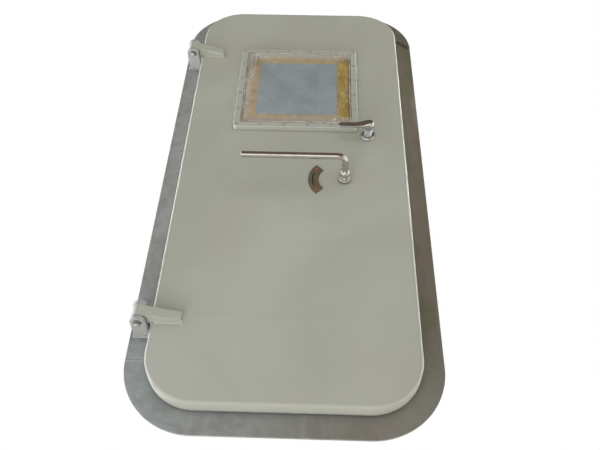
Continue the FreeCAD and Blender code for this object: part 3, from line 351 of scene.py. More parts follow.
def flange_look():
    """Bare mill plate: bluish scale on the hinge side, a brown film on the lock side, and painted bluish
    shade near the parts standing on it.
    """
    graph = new_look("flange_steel")
    warp = graph.times(graph.noise(3.5, 3.0, 0.6), 0.5)
    brown = graph.ramp(graph.math("ADD", graph.axis(0), warp), 0.02, 0.62)
    film = graph.layers(
        (0.150, 0.141, 0.088),
        ("patches", (0.184, 0.153, 0.117), (13.0, 3.0, 0.5, 0.8), 0.42, 0.58, 1.0, (1.0, 1.0, 0.5)),
    )
    foot = graph.times(graph.ramp(graph.axis(2), 0.55, 0.20), graph.ramp(graph.axis(0), -0.24, -0.42))
    colour = graph.mix(brown, graph.mix(foot, (0.318, 0.332, 0.326), (0.345, 0.385, 0.400)), film)
    # paler towards the foot on the lock side
    paler_foot = graph.times(brown, graph.ramp(graph.axis(2), 0.42, 0.05))
    colour = graph.mix(graph.times(paler_foot, 0.60), colour, (0.285, 0.276, 0.256))
    mottle = graph.cloud((16.0, 6.0, 0.65, 0.8), 0.36, 0.66)
    colour = graph.mix(graph.times(mottle, 0.40), colour, (0.165, 0.160, 0.143))
    colour = graph.layers(
        colour,
        ("streaks", (0.34, 0.345, 0.335), (26.0, 4.0, 0.6), 0.55, 0.75, 0.35, (1.0, 1.0, 0.10)),
        ("rust", (0.105, 0.068, 0.040), (75.0, 5.0, 0.7), 0.66, 0.74, 0.40),
    )
    # painted shadow: bluish shade on the plate within 50 mm of the leaf and the parts on it
    colour = graph.crevice_shade(colour, (0.088, 0.088, 0.105), 50.0)
    pits = graph.ramp(graph.cells(95.0), 0.09, 0.04, 0.0, 0.6)
    pits = graph.times(pits, graph.cloud((9.0, 2.0), 0.52, 0.62))
    colour = graph.mix(pits, colour, (0.06, 0.055, 0.048))
    rough = graph.cloud((33.0, 4.0, 0.6), 0.3, 0.7, 0.44, 0.66)
    normal = graph.grain((60.0, 6.0, 0.65), 0.5, 0.5, graph.soft_edge(1.0))
    return graph.dress(colour, rough, normal, Metallic=0.25)


def metal_look(name, colour, stain, rough, scale, metallic=1.0, line=None, grain=0.04):
    """Metal with a stain that varies, uneven gloss and, where "line" is given, tool marks along it."""
    graph = new_look(name)
    tone = graph.layer(colour, "stain", stain, (scale, 5.0, 0.6, 0.4), 0.40, 0.72)
    value = graph.node("SeparateColor", {0: graph.cells(scale * 5.0, "Color")}).outputs[0]
    tone = graph.mix(graph.ramp(value, 0.0, 1.0, 0.0, 0.16), tone, shade(stain, 0.72))
    gloss = graph.cloud((scale * 2.3, 4.0, 0.6), 0.3, 0.75, *rough)
    marks = graph.noise(700.0 if line else 500.0, 2.0, 0.5, stretch=line)
    normal = graph.bump(marks, grain, 0.4, graph.soft_edge(0.7))
    return graph.dress(tone, gloss, normal, Metallic=metallic)


def glass_look():
    """The pane, its bluish grey a painted reflection, dusty and a little streaked."""
    graph = new_look("glass")
    # painted reflection: an opaque bluish grey where clear glass would show its surroundings
    colour = graph.layers(
        (0.375, 0.450, 0.520),
        ("haze", (0.430, 0.505, 0.570), (7.0, 3.0, 0.5, 0.5), 0.35, 0.75),
        ("smear", (0.42, 0.46, 0.47), (26.0, 5.0, 0.65, 1.2), 0.60, 0.78, 0.35, (1.0, 1.0, 0.5)),
    )
    gloss = graph.cloud((40.0, 4.0, 0.6), 0.3, 0.7, 0.14, 0.30)
    normal = graph.grain((14.0, 2.0, 0.5), 1.2, 0.3)
    return graph.dress(colour, gloss, normal, Transmission_Weight=0.10, IOR=1.5, Specular_IOR_Level=0.35)


def rubber_look():
    graph = new_look("rubber")
    colour = graph.layers(
        (0.022, 0.022, 0.021),
        ("bloom", (0.062, 0.060, 0.055), (55.0, 5.0, 0.65), 0.42, 0.74, 0.6),
        ("grit", (0.16, 0.15, 0.13), (320.0, 3.0, 0.6), 0.68, 0.76, 0.5),
    )
    normal = graph.grain((260.0, 3.0, 0.6), 0.15, 0.5)
    rough = graph.cloud((30.0, 3.0), 0.3, 0.7, 0.55, 0.78)
    return graph.dress(colour, rough, normal)


def wool_look():
    graph = new_look("mineral_wool")
    fibres = graph.noise(210.0, 6.0, 0.75, 2.0, stretch=(1.0, 4.0, 1.0))
    colour = graph.layer((0.50, 0.44, 0.24), "tufts", (0.40, 0.33, 0.16), (28.0, 5.0, 0.7), 0.35, 0.7)
    colour = graph.mix(graph.ramp(fibres, 0.45, 0.70, 0.0, 0.7), colour, (0.66, 0.60, 0.38))
    return graph.dress(colour, 0.95, graph.bump(fibres, 2.0, 0.9))


def tape_look(name, pale, deep, yellow):
    """Crepe paper with fine cross ridges, soaked darker in places."""
    graph = new_look(name)
    colour = graph.layers(
        pale,
        ("soaked", deep, (16.0, 4.0, 0.6, 1.0), 0.34, 0.66, 1.0, (1.0, 1.0, 0.5)),
        ("folds", yellow, (52.0, 3.0, 0.6, 1.5), 0.48, 0.70, 0.8, (1.0, 1.0, 0.35)),
    )
    crepe = graph.noise(900.0, 3.0, 0.6, stretch=(0.5, 0.5, 1.0))
    colour = graph.mix(graph.ramp(crepe, 0.55, 0.75, 0.0, 0.25), colour, shade(deep, 0.7))
    rough = graph.cloud((40.0, 3.0), 0.3, 0.7, 0.42, 0.65)
    return graph.dress(colour, rough, graph.bump(crepe, 0.25, 0.5))


def film_look(name, veil, glint_share):
    """Thin clear plastic: milky towards its border and in drifts, with painted white glints along its
    creases.
    """
    graph = new_look(name)
    half = (TAPE_HIGH.x - TAPE_LOW.x) / 2
    above = graph.away(graph.axis(2), (TAPE_HIGH.z + TAPE_LOW.z) / 2)
    reach = graph.math("MAXIMUM", graph.times(graph.axis(0), -1.0), above)
    wander = graph.math("MULTIPLY_ADD", graph.noise(14.0, 3.0), 20.0 * MM, reach)
    border = graph.ramp(wander, half - 32 * MM, half - 2 * MM, 0.0, veil)
    # painted highlight: thin white glint lines on noise ridges, near the border and stronger on the lock side
    ridge = graph.away(graph.noise(11.0, 2.0, 0.5, 1.6, stretch=(1.0, 1.0, 0.5)), 0.5)
    lines = graph.ramp(ridge, 0.011, 0.002, 0.0, glint_share)
    edgewise = graph.math("MAXIMUM", graph.math("ABSOLUTE", graph.axis(0)), above)
    lines = graph.times(lines, graph.ramp(edgewise, half - 50 * MM, half - 36 * MM))
    lines = graph.times(lines, graph.ramp(graph.axis(0), 0.05, 0.14, 0.4, 1.0))
    drifts = graph.cloud((9.0, 4.0, 0.6, 0.8), 0.50, 0.74, 0.0, 0.13)
    drifts = graph.times(drifts, graph.ramp(reach, 0.30 * half, 0.72 * half))
    haze = graph.math("ADD", graph.math("ADD", border, drifts), lines)
    tint = graph.layer((0.93, 0.91, 0.87), "tint", (0.86, 0.84, 0.80), (12.0, 3.0), 0.4, 0.7)
    clear = graph.closure("BsdfTransparent", Color=tint)
    milky = graph.closure("BsdfDiffuse", Color=(0.66, 0.68, 0.68))
    normal = graph.grain((160.0, 3.0, 0.6, 0.8), 0.3, 0.5)
    gloss = graph.cloud((30.0, 3.0), 0.3, 0.7, 0.06, 0.20)
    shine = graph.closure("BsdfGlossy", Roughness=gloss, Normal=normal)
    slant = graph.node("LayerWeight", {"Normal": normal}).outputs["Facing"]
    share = graph.math("MULTIPLY_ADD", graph.math("POWER", slant, 4.0), 0.55, 0.05)
    graph.tree.nodes.remove(graph.shader)
    return graph.surface(graph.blend(share, graph.blend(haze, clear, milky), shine))


def sealant_look():
    """Brown adhesive, with a painted highlight along the window's upper edge."""
    graph = new_look("sealant")
    colour = graph.layers(
        (0.20, 0.140, 0.075),
        ("blotches", (0.165, 0.125, 0.075), (45.0, 4.0, 0.6), 0.35, 0.7),
        ("pale", (0.42, 0.35, 0.25), (90.0, 3.0, 0.6), 0.58, 0.72, 0.6),
    )
    # painted highlight: the bead paler along the opening's upper edge
    upper = graph.ramp(graph.axis(2), TAPE_HIGH.z - 12 * MM, TAPE_HIGH.z - 4 * MM)
    colour = graph.mix(upper, colour, (0.40, 0.385, 0.335))
    normal = graph.grain((220.0, 3.0, 0.6), 0.4, 0.6)
    return graph.dress(colour, 0.42, normal)


def bead_look():
    """The film's folded edge: milky plastic with a yellow cast, brown in places on the hinge side."""
    graph = new_look("film_edge")
    colour = graph.layers(
        (0.50, 0.455, 0.375),
        ("cast", (0.56, 0.52, 0.455), (18.0, 3.0, 0.6), 0.38, 0.66),
        ("dull", (0.38, 0.33, 0.245), (65.0, 4.0, 0.6), 0.50, 0.72, 0.6),
    )
    hinge_side = graph.ramp(graph.axis(0), -0.155, -0.185)
    worn = graph.times(hinge_side, graph.cloud((14.0, 2.0, 0.5), 0.36, 0.50))
    colour = graph.mix(worn, colour, (0.205, 0.145, 0.080))
    normal = graph.grain((180.0, 3.0, 0.6), 0.4, 0.6)
    return graph.dress(colour, 0.3, normal)


def dial_look():
    """Dark tarnished brass, darker towards its upper end."""
    graph = new_look("dial_brass")
    colour = graph.mix(graph.ramp(graph.axis(2), 0.86, 0.95), (0.205, 0.165, 0.102), (0.150, 0.128, 0.084))
    tarnish = graph.cloud((70.0, 5.0, 0.65, 0.6), 0.38, 0.70)
    colour = graph.mix(graph.times(tarnish, 0.6), colour, (0.120, 0.114, 0.066))
    colour = graph.layer(colour, "worn", (0.24, 0.19, 0.11), (200.0, 4.0, 0.6), 0.62, 0.74, 0.45)
    normal = graph.grain((320.0, 3.0), 0.15, 0.5, graph.soft_edge(0.5))
    return graph.dress(colour, 0.5, normal, Metallic=0.35)


def enamel_look():
    graph = new_look("red_enamel")
    colour = graph.layers(
        (0.340, 0.105, 0.065),
        ("fade", (0.230, 0.100, 0.064), (240.0, 4.0, 0.6), 0.36, 0.68),
        ("chips", (0.10, 0.08, 0.05), (420.0, 4.0, 0.7), 0.64, 0.70),
    )
    normal = graph.grain((380.0, 3.0), 0.2, 0.6)
    return graph.dress(colour, 0.45, normal)


def weld_look(name, base, stain):
    """Weld metal: scaly ripples, with brown or painted patches."""
    graph = new_look(name)
    colour = graph.layer(base, "patches", stain, (60.0, 5.0, 0.65, 0.5), 0.38, 0.68)
    normal = graph.grain((380.0, 4.0, 0.6), 0.35, 0.6)
    return graph.dress(colour, 0.5, normal, Metallic=0.1)


def make_looks():
    looks = {name: metal_look(name, *numbers) for name, numbers in METALS.items()}
    looks["door_paint"] = paint_look("door_paint")
    looks["frame_paint"] = paint_look("frame_paint", tint=0.98)
    looks["flange_steel"] = flange_look()
    looks["dial_brass"] = dial_look()
    looks["red_enamel"] = enamel_look()
    looks["glass"] = glass_look()
    looks["rubber"] = rubber_look()
    looks["mineral_wool"] = wool_look()
    soaked, dry, yellow = (0.48, 0.370, 0.215), (0.54, 0.435, 0.290), (0.56, 0.470, 0.250)
    looks["paper_tape"] = tape_look("paper_tape", dry, soaked, yellow)
    return looks


def rib_heights():
    """The middle of each level stiffener, from its faces."""
    levels = sorted({round(v.co.z, 4) for v in NODES["leaf_stiffeners"].data.vertices})
    return [(a + b) / 2 for a, b in zip(levels, levels[1:]) if b - a < 7.0 * MM]


def wear(node, material):
    NODES[node].data.materials.clear()
    NODES[node].data.materials.append(material)


def dress_cad_nodes(looks):
    for entry in frame["record"]["subparts"]:
        wear(entry["node"], looks[entry["material_slot"]])
    wear("leaf_skin", paint_look("leaf_paint", ribs=rib_heights(), soft=14.0))
    wear("hinge_ears", paint_look("ear_paint", tint=0.77, cool=0.10))
    arm_paint = paint_look("arm_paint", tint=0.92)
    wear("hinge_arm_lower", arm_paint)
    wear("hinge_arm_upper", arm_paint)


# ---------------- mesh building

class Shape:
    """Points and faces that several strokes add to."""

    def __init__(self, points=(), faces=()):
        self.points = list(points)
        self.faces = list(faces)

    def loft(self, rings, closed=False):
        """Faces between rings of points; "closed" joins the last to the first, else both are capped."""
        start = len(self.points)
        size = len(rings[0])
        for ring in rings:
            self.points.extend(ring)
        for step in range(len(rings) if closed else len(rings) - 1):
            low = start + step * size
            high = start + ((step + 1) % len(rings)) * size
            for index in range(size):
                follow = (index + 1) % size
                self.faces.append((low + index, low + follow, high + follow, high + index))
        if not closed:
            self.faces.append(tuple(start + index for index in reversed(range(size))))
            last = start + (len(rings) - 1) * size
            self.faces.append(tuple(last + index for index in range(size)))

    def lathe(self, centre, axis, profile, steps=40, sides=0, bored=False):
        """Turns (radius, height) pairs about an axis: marked ones as a polygon, "bored" with a hole."""
        axis = Vector(axis).normalized()
        first = axis.orthogonal().normalized()
        second = axis.cross(first)
        rings = []
        for radius, height, *angular in profile:
            ring = []
            for step in range(steps):
                angle = 2 * math.pi * step / steps
                reach = radius
                if angular and sides:
                    sector = math.pi / sides
                    reach = radius / math.cos((angle + sector) % (2 * sector) - sector)
                spoke = first * math.cos(angle) + second * math.sin(angle)
                ring.append(Vector(centre) + axis * height + spoke * reach)
            rings.append(ring)
        self.loft(rings, closed=bored)
        return self


def piece(name, shape, body, look, instead_of=None, smooth=True):
    """A mesh of our own that rides on a CAD body, in place of a CAD node where one is named."""
    mesh = bpy.data.meshes.new(name)
    mesh.from_pydata([tuple(p) for p in shape.points], [], shape.faces)
    mesh.update()
    mesh.materials.append(look)
    for polygon in mesh.polygons:
        polygon.use_smooth = smooth
    obj = add_object(name, mesh)
    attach(obj, body)
    if instead_of:
        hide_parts(instead_of)
    return obj


def scaled(pairs, first=MM, second=MM):
    """Pairs in parts of two sizes, millimetres if none are given."""
    return [(a * first, b * second, *rest) for a, b, *rest in pairs]


def grown(box, gap, level):
    """A box's outline at one level, grown by a gap or shrunk by a negative one."""
    low, high = box
    return Vector((low.x - gap, level, low.z - gap)), Vector((high.x + gap, level, high.z + gap))


def middle(box, axis, level):
    """A box's middle, moved along one axis to a level."""
    place = (box[0] + box[1]) / 2
    place[axis] = level
    return place


def spoke_at(degrees):
    """A direction parallel to the door, turned from +X towards +Z."""
    angle = math.radians(degrees)
    return Vector((math.cos(angle), 0.0, math.sin(angle)))


def islands(node):
    """(low corner, high corner) of each separate solid of a CAD node, from low to high."""
    mesh = NODES[node].data
    keys = [tuple(round(c, 5) for c in vertex.co) for vertex in mesh.vertices]
    parent = {key: key for key in keys}

    def root(key):
        while parent[key] != key:
            parent[key] = parent[parent[key]]
            key = parent[key]
        return key

    for polygon in mesh.polygons:
        first = root(keys[polygon.vertices[0]])
        for index in polygon.vertices[1:]:
            parent[root(keys[index])] = first
    groups = {}
    for key in parent:
        groups.setdefault(root(key), []).append(key)
    boxes = []
    for points in groups.values():
        boxes.append([Vector([pick(p[i] for p in points) for i in range(3)]) for pick in (min, max)])
    return sorted(boxes, key=lambda box: (round(box[0].z, 3), box[0].x))


def run(start, end, step, sideways):
    parts = max(1, round((end - start).length / step))
    return [(start.lerp(end, part / parts), sideways) for part in range(parts + 1)]


def route(corners, closed, step):
    """(point, sideways) stations along straight runs; sideways fans round each corner."""
    fans = 6
    corners = [Vector(c) for c in corners]
    count = len(corners)
    runs = count if closed else count - 1
    normals = []
    for index in range(runs):
        along = (corners[(index + 1) % count] - corners[index]).normalized()
        normals.append(along.cross(OUT).normalized())
    stations = []
    for index in range(runs):
        start, end = corners[index], corners[(index + 1) % count]
        stations += run(start, end, step, normals[index])
        if closed or index < runs - 1:
            after = normals[(index + 1) % runs]
            for fan in range(1, fans):
                stations.append((end, normals[index].slerp(after, fan / fans)))
    return stations


def rounded_route(box, radius, step, arc=14):
    """Stations round a rectangle with rounded corners, in a plane parallel to the door."""
    low, high = box
    left, right = low.x + radius, high.x - radius
    foot, head = low.z + radius, high.z - radius
    turns = ((right, foot, -90.0), (right, head, 0.0), (left, head, 90.0), (left, foot, 180.0))
    stations = []
    for index, (side, up, start) in enumerate(turns):
        for part in range(arc + 1):
            spoke = spoke_at(start + 90.0 * part / arc)
            stations.append((Vector((side, low.y, up)) + spoke * radius, spoke))
        last, sideways = stations[-1]
        next_side, next_up, next_start = turns[(index + 1) % 4]
        first = Vector((next_side, low.y, next_up)) + spoke_at(next_start) * radius
        stations += run(last, first, step, sideways)[1:-1]
    return stations


def strip(shape, stations, section, closed, vary=None):
    """Carries a section of (sideways, outward) pairs along stations."""
    rings = []
    travelled = 0.0
    before = stations[0][0]
    for point, sideways in stations:
        travelled += (point - before).length
        before = point
        size = vary(travelled, point) if vary else 1.0
        rings.append([point + sideways * (a * size) + OUT * (b * size) for a, b in section])
    shape.loft(rings, closed)


def ripple(travelled, point):
    """How a weld bead's size changes along it."""
    scallop = abs(math.sin(math.pi * travelled / (3.4 * MM)))
    return 0.86 + 0.14 * scallop + 0.22 * noise(point * 90.0)


def uneven(middle, swing, scale):
    """A size that wavers about a middle."""
    return lambda travelled, point: middle + swing * noise(point * scale)


def grid(across, rows, place):
    """A sheet of points, place(column, row) each, with a face between every four."""
    points = [place(column, row) for row in range(rows + 1) for column in range(across + 1)]
    faces = []
    for row in range(rows):
        for first in range(row * (across + 1), row * (across + 1) + across):
            faces.append((first, first + 1, first + across + 2, first + across + 1))
    return Shape(points, faces)


# ---------------- welds

BEAD_STEP = 1.2 * MM


def bead(shape, corners, section, closed=False):
    strip(shape, route(corners, closed, BEAD_STEP), section, closed, ripple)


def fillet_section(leg):
    """The cross-section of a fillet weld whose corner is at the origin."""
    root = -0.4 * MM
    section = [(root, root), (leg, root), (leg, 0.0)]
    for part in range(1, 5):
        angle = math.radians(18.0 * part)
        swell = leg * (0.70 + 0.12 * math.sin(2 * angle))
        section.append((swell * math.cos(angle), swell * math.sin(angle)))
    return section + [(0.0, leg), (root, leg)]


def flange_seams(look):
    """Low ground-down beads where the flange's straight bars meet its corner plates."""
    shape = Shape()
    section = scaled(((-3.6, -0.3), (3.6, -0.3), (2.6, 0.15), (0.9, 0.3), (-0.9, 0.3), (-2.6, 0.15)))
    inset = 1 * MM
    for name, ups in (("left", (0, 1)), ("right", (0,))):
        low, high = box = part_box(f"flange_bar_{name}")
        for level in (box[up].z for up in ups):
            bead(shape, [(low.x + inset, low.y, level), (high.x - inset, low.y, level)], section)
    for name in ("bottom", "top"):
        low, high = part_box(f"flange_bar_{name}")
        for side in (low.x, high.x):
            bead(shape, [(side, low.y, low.z + inset), (side, low.y, high.z - inset)], section)
    piece("flange_seams", shape, "frame", look)


def rough_seam(look):
    """The one seam left as welded, where the lock side's bar meets the upper corner plate."""
    shape = Shape()
    low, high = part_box("flange_bar_right")
    start = low.x + 1 * MM
    length = high.x - low.x - 7 * MM
    rise, foot, runs = 54.0 * MM, 2.0 * MM, 8
    corners = []
    for share in (part / runs for part in range(runs + 1)):
        corners.append((start + length * share, low.y, high.z + rise * (1.0 - share ** 2) + foot))
    section = scaled(((-13.0, -0.3), (13.0, -0.3), (9.0, 1.4), (3.0, 3.2), (-3.0, 3.2), (-9.0, 1.4)))
    bead(shape, corners, section)
    piece("flange_rough_seam", shape, "frame", look)


def ear_welds(look):
    shape = Shape()
    for low, high in islands("hinge_ears"):
        corners = [(low.x, low.z), (high.x, low.z), (high.x, high.z), (low.x, high.z)]
        bead(shape, [(side, FLANGE_FACE, up) for side, up in corners], fillet_section(5.0 * MM), closed=True)
    piece("ear_welds", shape, "frame", look)


def arm_welds(look):
    """Fillets on the leaf's face, along the hinge arms' tapered sides and round their tips."""
    shape = Shape()
    leaf_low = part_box("leaf_skin")[0]
    face = leaf_low.y
    start = leaf_low.x + 10 * MM
    for node in ("hinge_arm_lower", "hinge_arm_upper"):
        foot = [v.co for v in NODES[node].data.vertices if abs(v.co.y - face) < 0.2 * MM]
        tip_side = max(p.x for p in foot)
        root_side = min(p.x for p in foot)
        tip = [p.z for p in foot if p.x > tip_side - 1 * MM]
        root = [p.z for p in foot if p.x < root_side + 1 * MM]
        share = (start - root_side) / (tip_side - root_side)
        low = min(root) + (min(tip) - min(root)) * share
        high = max(root) + (max(tip) - max(root)) * share
        corners = ((start, low), (tip_side, min(tip)), (tip_side, max(tip)), (start, high))
        bead(shape, [(side, face, up) for side, up in corners], fillet_section(3.6 * MM))
    piece("arm_welds", shape, "leaf", look)


def coaming_weld(look):
    shape = Shape()
    stations = rounded_route(grown(RING, 0.0, FLANGE_FACE), RING_CORNER, 1.4 * MM, 60)
    strip(shape, stations, fillet_section(5.0 * MM), True, ripple)
    piece("coaming_weld", shape, "frame", look)


# ---------------- window dressing

# half of a screw head's section, in radii and rises; the marked radii are the hexagon's
SCREW_PROFILE = (
    (0.45, -2.5), (0.5, -0.0625), (1.0, -0.0625), (1.0, 0.25), (0.93, 0.55), (0.80, 0.80), (0.60, 0.96),
    (0.50, 1.0), (0.38, 1.0, True), (0.34, 0.9, True), (0.32, 0.1, True), (0.02, 0.0, True),
)


def screw_heads(look):
    """Button heads with a hexagon socket, outside and inside the window."""
    rise = 1.6 * MM
    for node, way, name in (
        ("window_screws", OUT, "window_screw_heads"),
        ("window_inner_screws", IN, "window_inner_screw_heads"),
    ):
        shape = Shape()
        for low, high in islands(node):
            seat = low.y + rise if way is OUT else high.y - rise
            profile = scaled(SCREW_PROFILE, (high.x - low.x) / 2, rise)
            shape.lathe(middle((low, high), 1, seat), way, profile, 36, 6)
        piece(name, shape, "leaf", look, instead_of=node)


TAPE_STEP = 1.6 * MM

# creases of the right-hand strip: two ends as shares of its width and height, and how far they stand up
GOLD_CREASES = (
    ((0.02, 0.60), (0.62, 0.66), 1.0),
    ((0.58, 0.36), (0.66, 0.22), 0.9),
    ((0.66, 0.22), (0.96, 0.12), 0.9),
    ((0.55, 0.98), (0.60, 0.40), 0.6),
    ((0.10, 0.12), (0.95, 0.07), 0.8),
    ((0.05, 0.07), (0.85, 0.03), 0.8),
)


def tape_strips(look, gold):
    """Masking tape stuck along the pane's edges, creased and lifted in places."""
    low, high = TAPE
    width = high.x - min(abs(v.co.x) for v in NODES["masking_tape"].data.vertices)
    inner_low, inner_high = grown((low, high), -width, low.y)
    lap = 3.0 * MM
    strips = (
        ("tape_low", (low.x + lap, low.z), (high.x - lap, inner_low.z), False, 1.2 * MM, look),
        ("tape_high", (low.x + lap, inner_high.z), (high.x - lap, high.z), False, 1.2 * MM, look),
        ("tape_left", (low.x, low.z), (inner_low.x, high.z), True, 1.4 * MM, look),
        ("tape_right", (inner_high.x, low.z), (high.x, high.z), True, 2.8 * MM, gold),
    )
    for name, first, last, upright, lift, worn in strips:
        start = Vector((first[0], low.y, first[1]))
        end = Vector((last[0], high.y, last[1]))
        creases = GOLD_CREASES if worn is gold else ()
        shape = crease_strip(start, end, upright, lift, creases)
        obj = piece(name, shape, "leaf", worn, instead_of="masking_tape")


def crease_height(side, up, creases):
    """How high the nearest straight crease lifts a point given in shares of its strip."""
    slender = 8.0
    height = 0.0
    spot = Vector((side, up * slender))
    for first, last, rise in creases:
        start = Vector((first[0], first[1] * slender))
        run = Vector((last[0], last[1] * slender)) - start
        along = max(0.0, min(1.0, (spot - start).dot(run) / run.dot(run)))
        away = (spot - start - run * along).length
        height = max(height, rise * max(0.0, 1.0 - away / 0.10))
    return height


def crease_strip(low, high, upright, lift, creases):
    """A strip just above its backing, with soft folds all over and the given creases standing up."""
    across = max(2, round((high.x - low.x) / TAPE_STEP))
    rows = max(2, round((high.z - low.z) / TAPE_STEP))
    above = 0.30 * MM if upright else 0.10 * MM

    def place(column, row):
        side = low.x + (high.x - low.x) * column / across
        up = low.z + (high.z - low.z) * row / rows
        if upright:
            spot = Vector((side * 55.0 + up * 14.0, 3.0, up * 26.0 - side * 20.0))
        else:
            spot = Vector((side * 26.0, 9.0, up * 55.0 + side * 8.0))
        folds = max(0.0, 1.0 - abs(noise(spot)) * 3.2)
        fine = 0.5 + 0.5 * noise(spot * 3.1)
        edge = min(column, across - column) if upright else min(row, rows - row)
        height = lift * (0.75 * folds ** 3 + 0.18 * fine) * min(1.0, 0.35 + edge * 0.2)
        height += lift * crease_height(column / across, row / rows, creases)
        return (side, high.y - above - height, up)

    return grid(across, rows, place)


def clear_film(look):
    """A protective sheet of thin plastic over the window's opening, pressed down in the middle."""
    low, high = grown(TAPE, 8.0 * MM, 0.0)
    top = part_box("window_frame")[0].y - 0.5 * MM
    drop = TAPE_LOW.y - 4.2 * MM - top
    count = 120

    def place(column, row):
        side = low.x + (high.x - low.x) * column / count
        up = low.z + (high.z - low.z) * row / count
        inside = min(side - TAPE_LOW.x, TAPE_HIGH.x - side, up - TAPE_LOW.z, TAPE_HIGH.z - up)
        sink = max(0.0, min(1.0, (inside + 1.0 * MM) / (16.0 * MM)))
        sink = sink * sink * (3 - 2 * sink)
        folds = max(0.0, 1.0 - abs(noise(Vector((side * 30.0, 5.0, up * 22.0)))) * 3.5) ** 2
        strength = 0.35 + 2.0 * max(0.0, min(1.0, (side - TAPE_LOW.x) / 0.39 - 0.55))
        return (side, top + sink * drop - folds * strength * 0.9 * MM * sink, up)

    obj = piece("window_film", grid(count, count, place), "leaf", look)


def crumpled_tab(look):
    """A loose end of film, crumpled at the window's upper left corner."""
    width, height = 40.0 * MM, 82.0 * MM
    low = Vector((TAPE_LOW.x + 2 * MM, 0.0, TAPE_HIGH.z - height + 4 * MM))
    across, rows = 26, 54

    def place(column, row):
        ragged = 0.16 * noise(Vector((row * 0.21, 7.0, 0.0)))
        reach = 0.62 + 0.38 * min(1.0, row / rows * 1.5) + ragged
        side = low.x + width * min(1.0, reach) * column / across
        up = low.z + height * row / rows
        spot = Vector((side * 70.0, 2.0, up * 48.0))
        folds = abs(noise(spot)) + 0.5 * abs(noise(spot * 2.3))
        fold_back = max(0.0, 1.0 - abs(column / across - 0.88) / 0.09)
        lift = 4.6 * folds * min(1.0, 0.2 + 0.35 * row / 10) + 2.2 * fold_back
        drift = 1.2 * noise(spot * 1.4 + Vector((5.0, 0.0, 0.0)))
        return (side + drift * MM, TAPE_LOW.y - 2.2 * MM - lift * MM, up + drift * MM)

    obj = piece("film_tab", grid(across, rows, place), "leaf", look)


def sealant(look):
    """A bead of sealant between the window frame's lip and the pane."""
    shape = Shape()
    outline = grown(TAPE, 2.5 * MM, TAPE_HIGH.y - 1.6 * MM)
    section = scaled(((0.2, -1.0), (-4.6, -1.0), (-4.2, 0.6), (-2.8, 2.6), (-1.2, 4.4), (0.2, 5.4)))
    strip(shape, rounded_route(outline, 8.0 * MM, 3.0 * MM), section, True, uneven(0.9, 0.35, 40.0))
    piece("window_sealant", shape, "leaf", look)


def film_edge(look):
    """The film's folded edge, a thin wavering roll on the window frame round the opening."""
    shape = Shape()
    outline = grown(TAPE, 3.2 * MM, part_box("window_frame")[0].y)
    stations = []
    for point, sideways in rounded_route(outline, 7.0 * MM, 2.5 * MM):
        stray = noise(point * 22.0) * 1.6 * MM + noise(point * 90.0) * 0.5 * MM
        stations.append((point + sideways * stray, sideways))
    section = ((-1.7, -0.3), (1.7, -0.3), (1.5, 0.7), (0.8, 1.35), (0.0, 1.6), (-0.8, 1.35), (-1.5, 0.7))
    strip(shape, stations, scaled(section), True, uneven(0.85, 0.7, 33.0))
    piece("window_film_edge", shape, "leaf", look)


# ---------------- rubber and wool

# sections of the seals, in half widths and depths
DOOR_SEAL = (
    (-1, 0), (-1, 0.80), (-0.90, 0.95), (-0.68, 1.0), (-0.46, 0.93), (-0.15, 0.885),
    (0.15, 0.885), (0.46, 0.93), (0.68, 1.0), (0.90, 0.95), (1, 0.80), (1, 0),
)
WINDOW_SEAL = ((-1, 0.15), (-1, 0.85), (-0.8, 1.0), (0.8, 1.0), (1, 0.85), (1, 0.15), (0.8, 0.0), (-0.8, 0.0))


def door_seal(look):
    """The leaf's seal: a moulding with two lips and a groove where the ring meets it."""
    shape = Shape()
    low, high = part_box("door_gasket")
    inset = 4.0 * MM
    outline = grown(RING, -inset, low.y)
    section = scaled(DOOR_SEAL, high.x - RING[1].x + inset, low.y - high.y)
    strip(shape, rounded_route(outline, RING_CORNER - inset, 12.0 * MM, 20), section, True)
    piece("door_gasket_moulding", shape, "leaf", look, instead_of="door_gasket")


def window_seals(look):
    """The two rubber flats on each side of the pane, with rounded edges."""
    shape = Shape()
    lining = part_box("window_lining")[1].x - 3 * MM
    tape = TAPE_HIGH.x + 2.5 * MM
    for low, high in islands("window_gaskets"):
        outside = high.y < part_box("window_pane")[0].y + 0.1 * MM
        half = (high.x - (tape if outside else lining)) / 2
        section = scaled(WINDOW_SEAL, half, low.y - high.y)
        strip(shape, rounded_route(grown((low, high), -half, low.y), 9 * MM, 12 * MM, 10), section, True)
    piece("window_seal_mouldings", shape, "leaf", look, instead_of="window_gaskets")


def wool_slabs(look):
    """Mineral wool cut to fit between the stiffeners, with a loose, uneven surface."""
    shape = Shape()
    for low, high in islands("insulation_slabs"):
        soft_block(shape, low, high, 14.0 * MM)
    obj = piece("wool_slabs", shape, "leaf", look, instead_of="insulation_slabs")


def soft_block(shape, low, high, step):
    """A block whose six faces are grids, pushed in unevenly."""
    size = high - low
    core = (low + high) / 2
    counts = [max(2, round(size[i] / step)) for i in range(3)]
    index = {}

    def corner(lattice):
        if lattice not in index:
            place = Vector([low[i] + size[i] * (lattice[i] / counts[i]) for i in range(3)])
            fine = 0.5 * MM * (1 + noise(place * 160.0))
            sunk = 1.5 * MM * (1 + noise(place * 55.0)) + fine
            for axis in range(3):
                if lattice[axis] in (0, counts[axis]):
                    place[axis] += sunk if place[axis] < core[axis] else -sunk
            index[lattice] = len(shape.points)
            shape.points.append(place)
        return index[lattice]

    for axis in range(3):
        first, second = (axis + 1) % 3, (axis + 2) % 3
        for end in (0, counts[axis]):
            for i in range(counts[first]):
                for j in range(counts[second]):
                    quad = []
                    for a, b in ((0, 0), (1, 0), (1, 1), (0, 1)):
                        lattice = [end, end, end]
                        lattice[first], lattice[second] = i + a, j + b
                        quad.append(corner(tuple(lattice)))
                    shape.faces.append(tuple(quad if end else reversed(quad)))


# ---------------- lever latch, handle and hinge pins

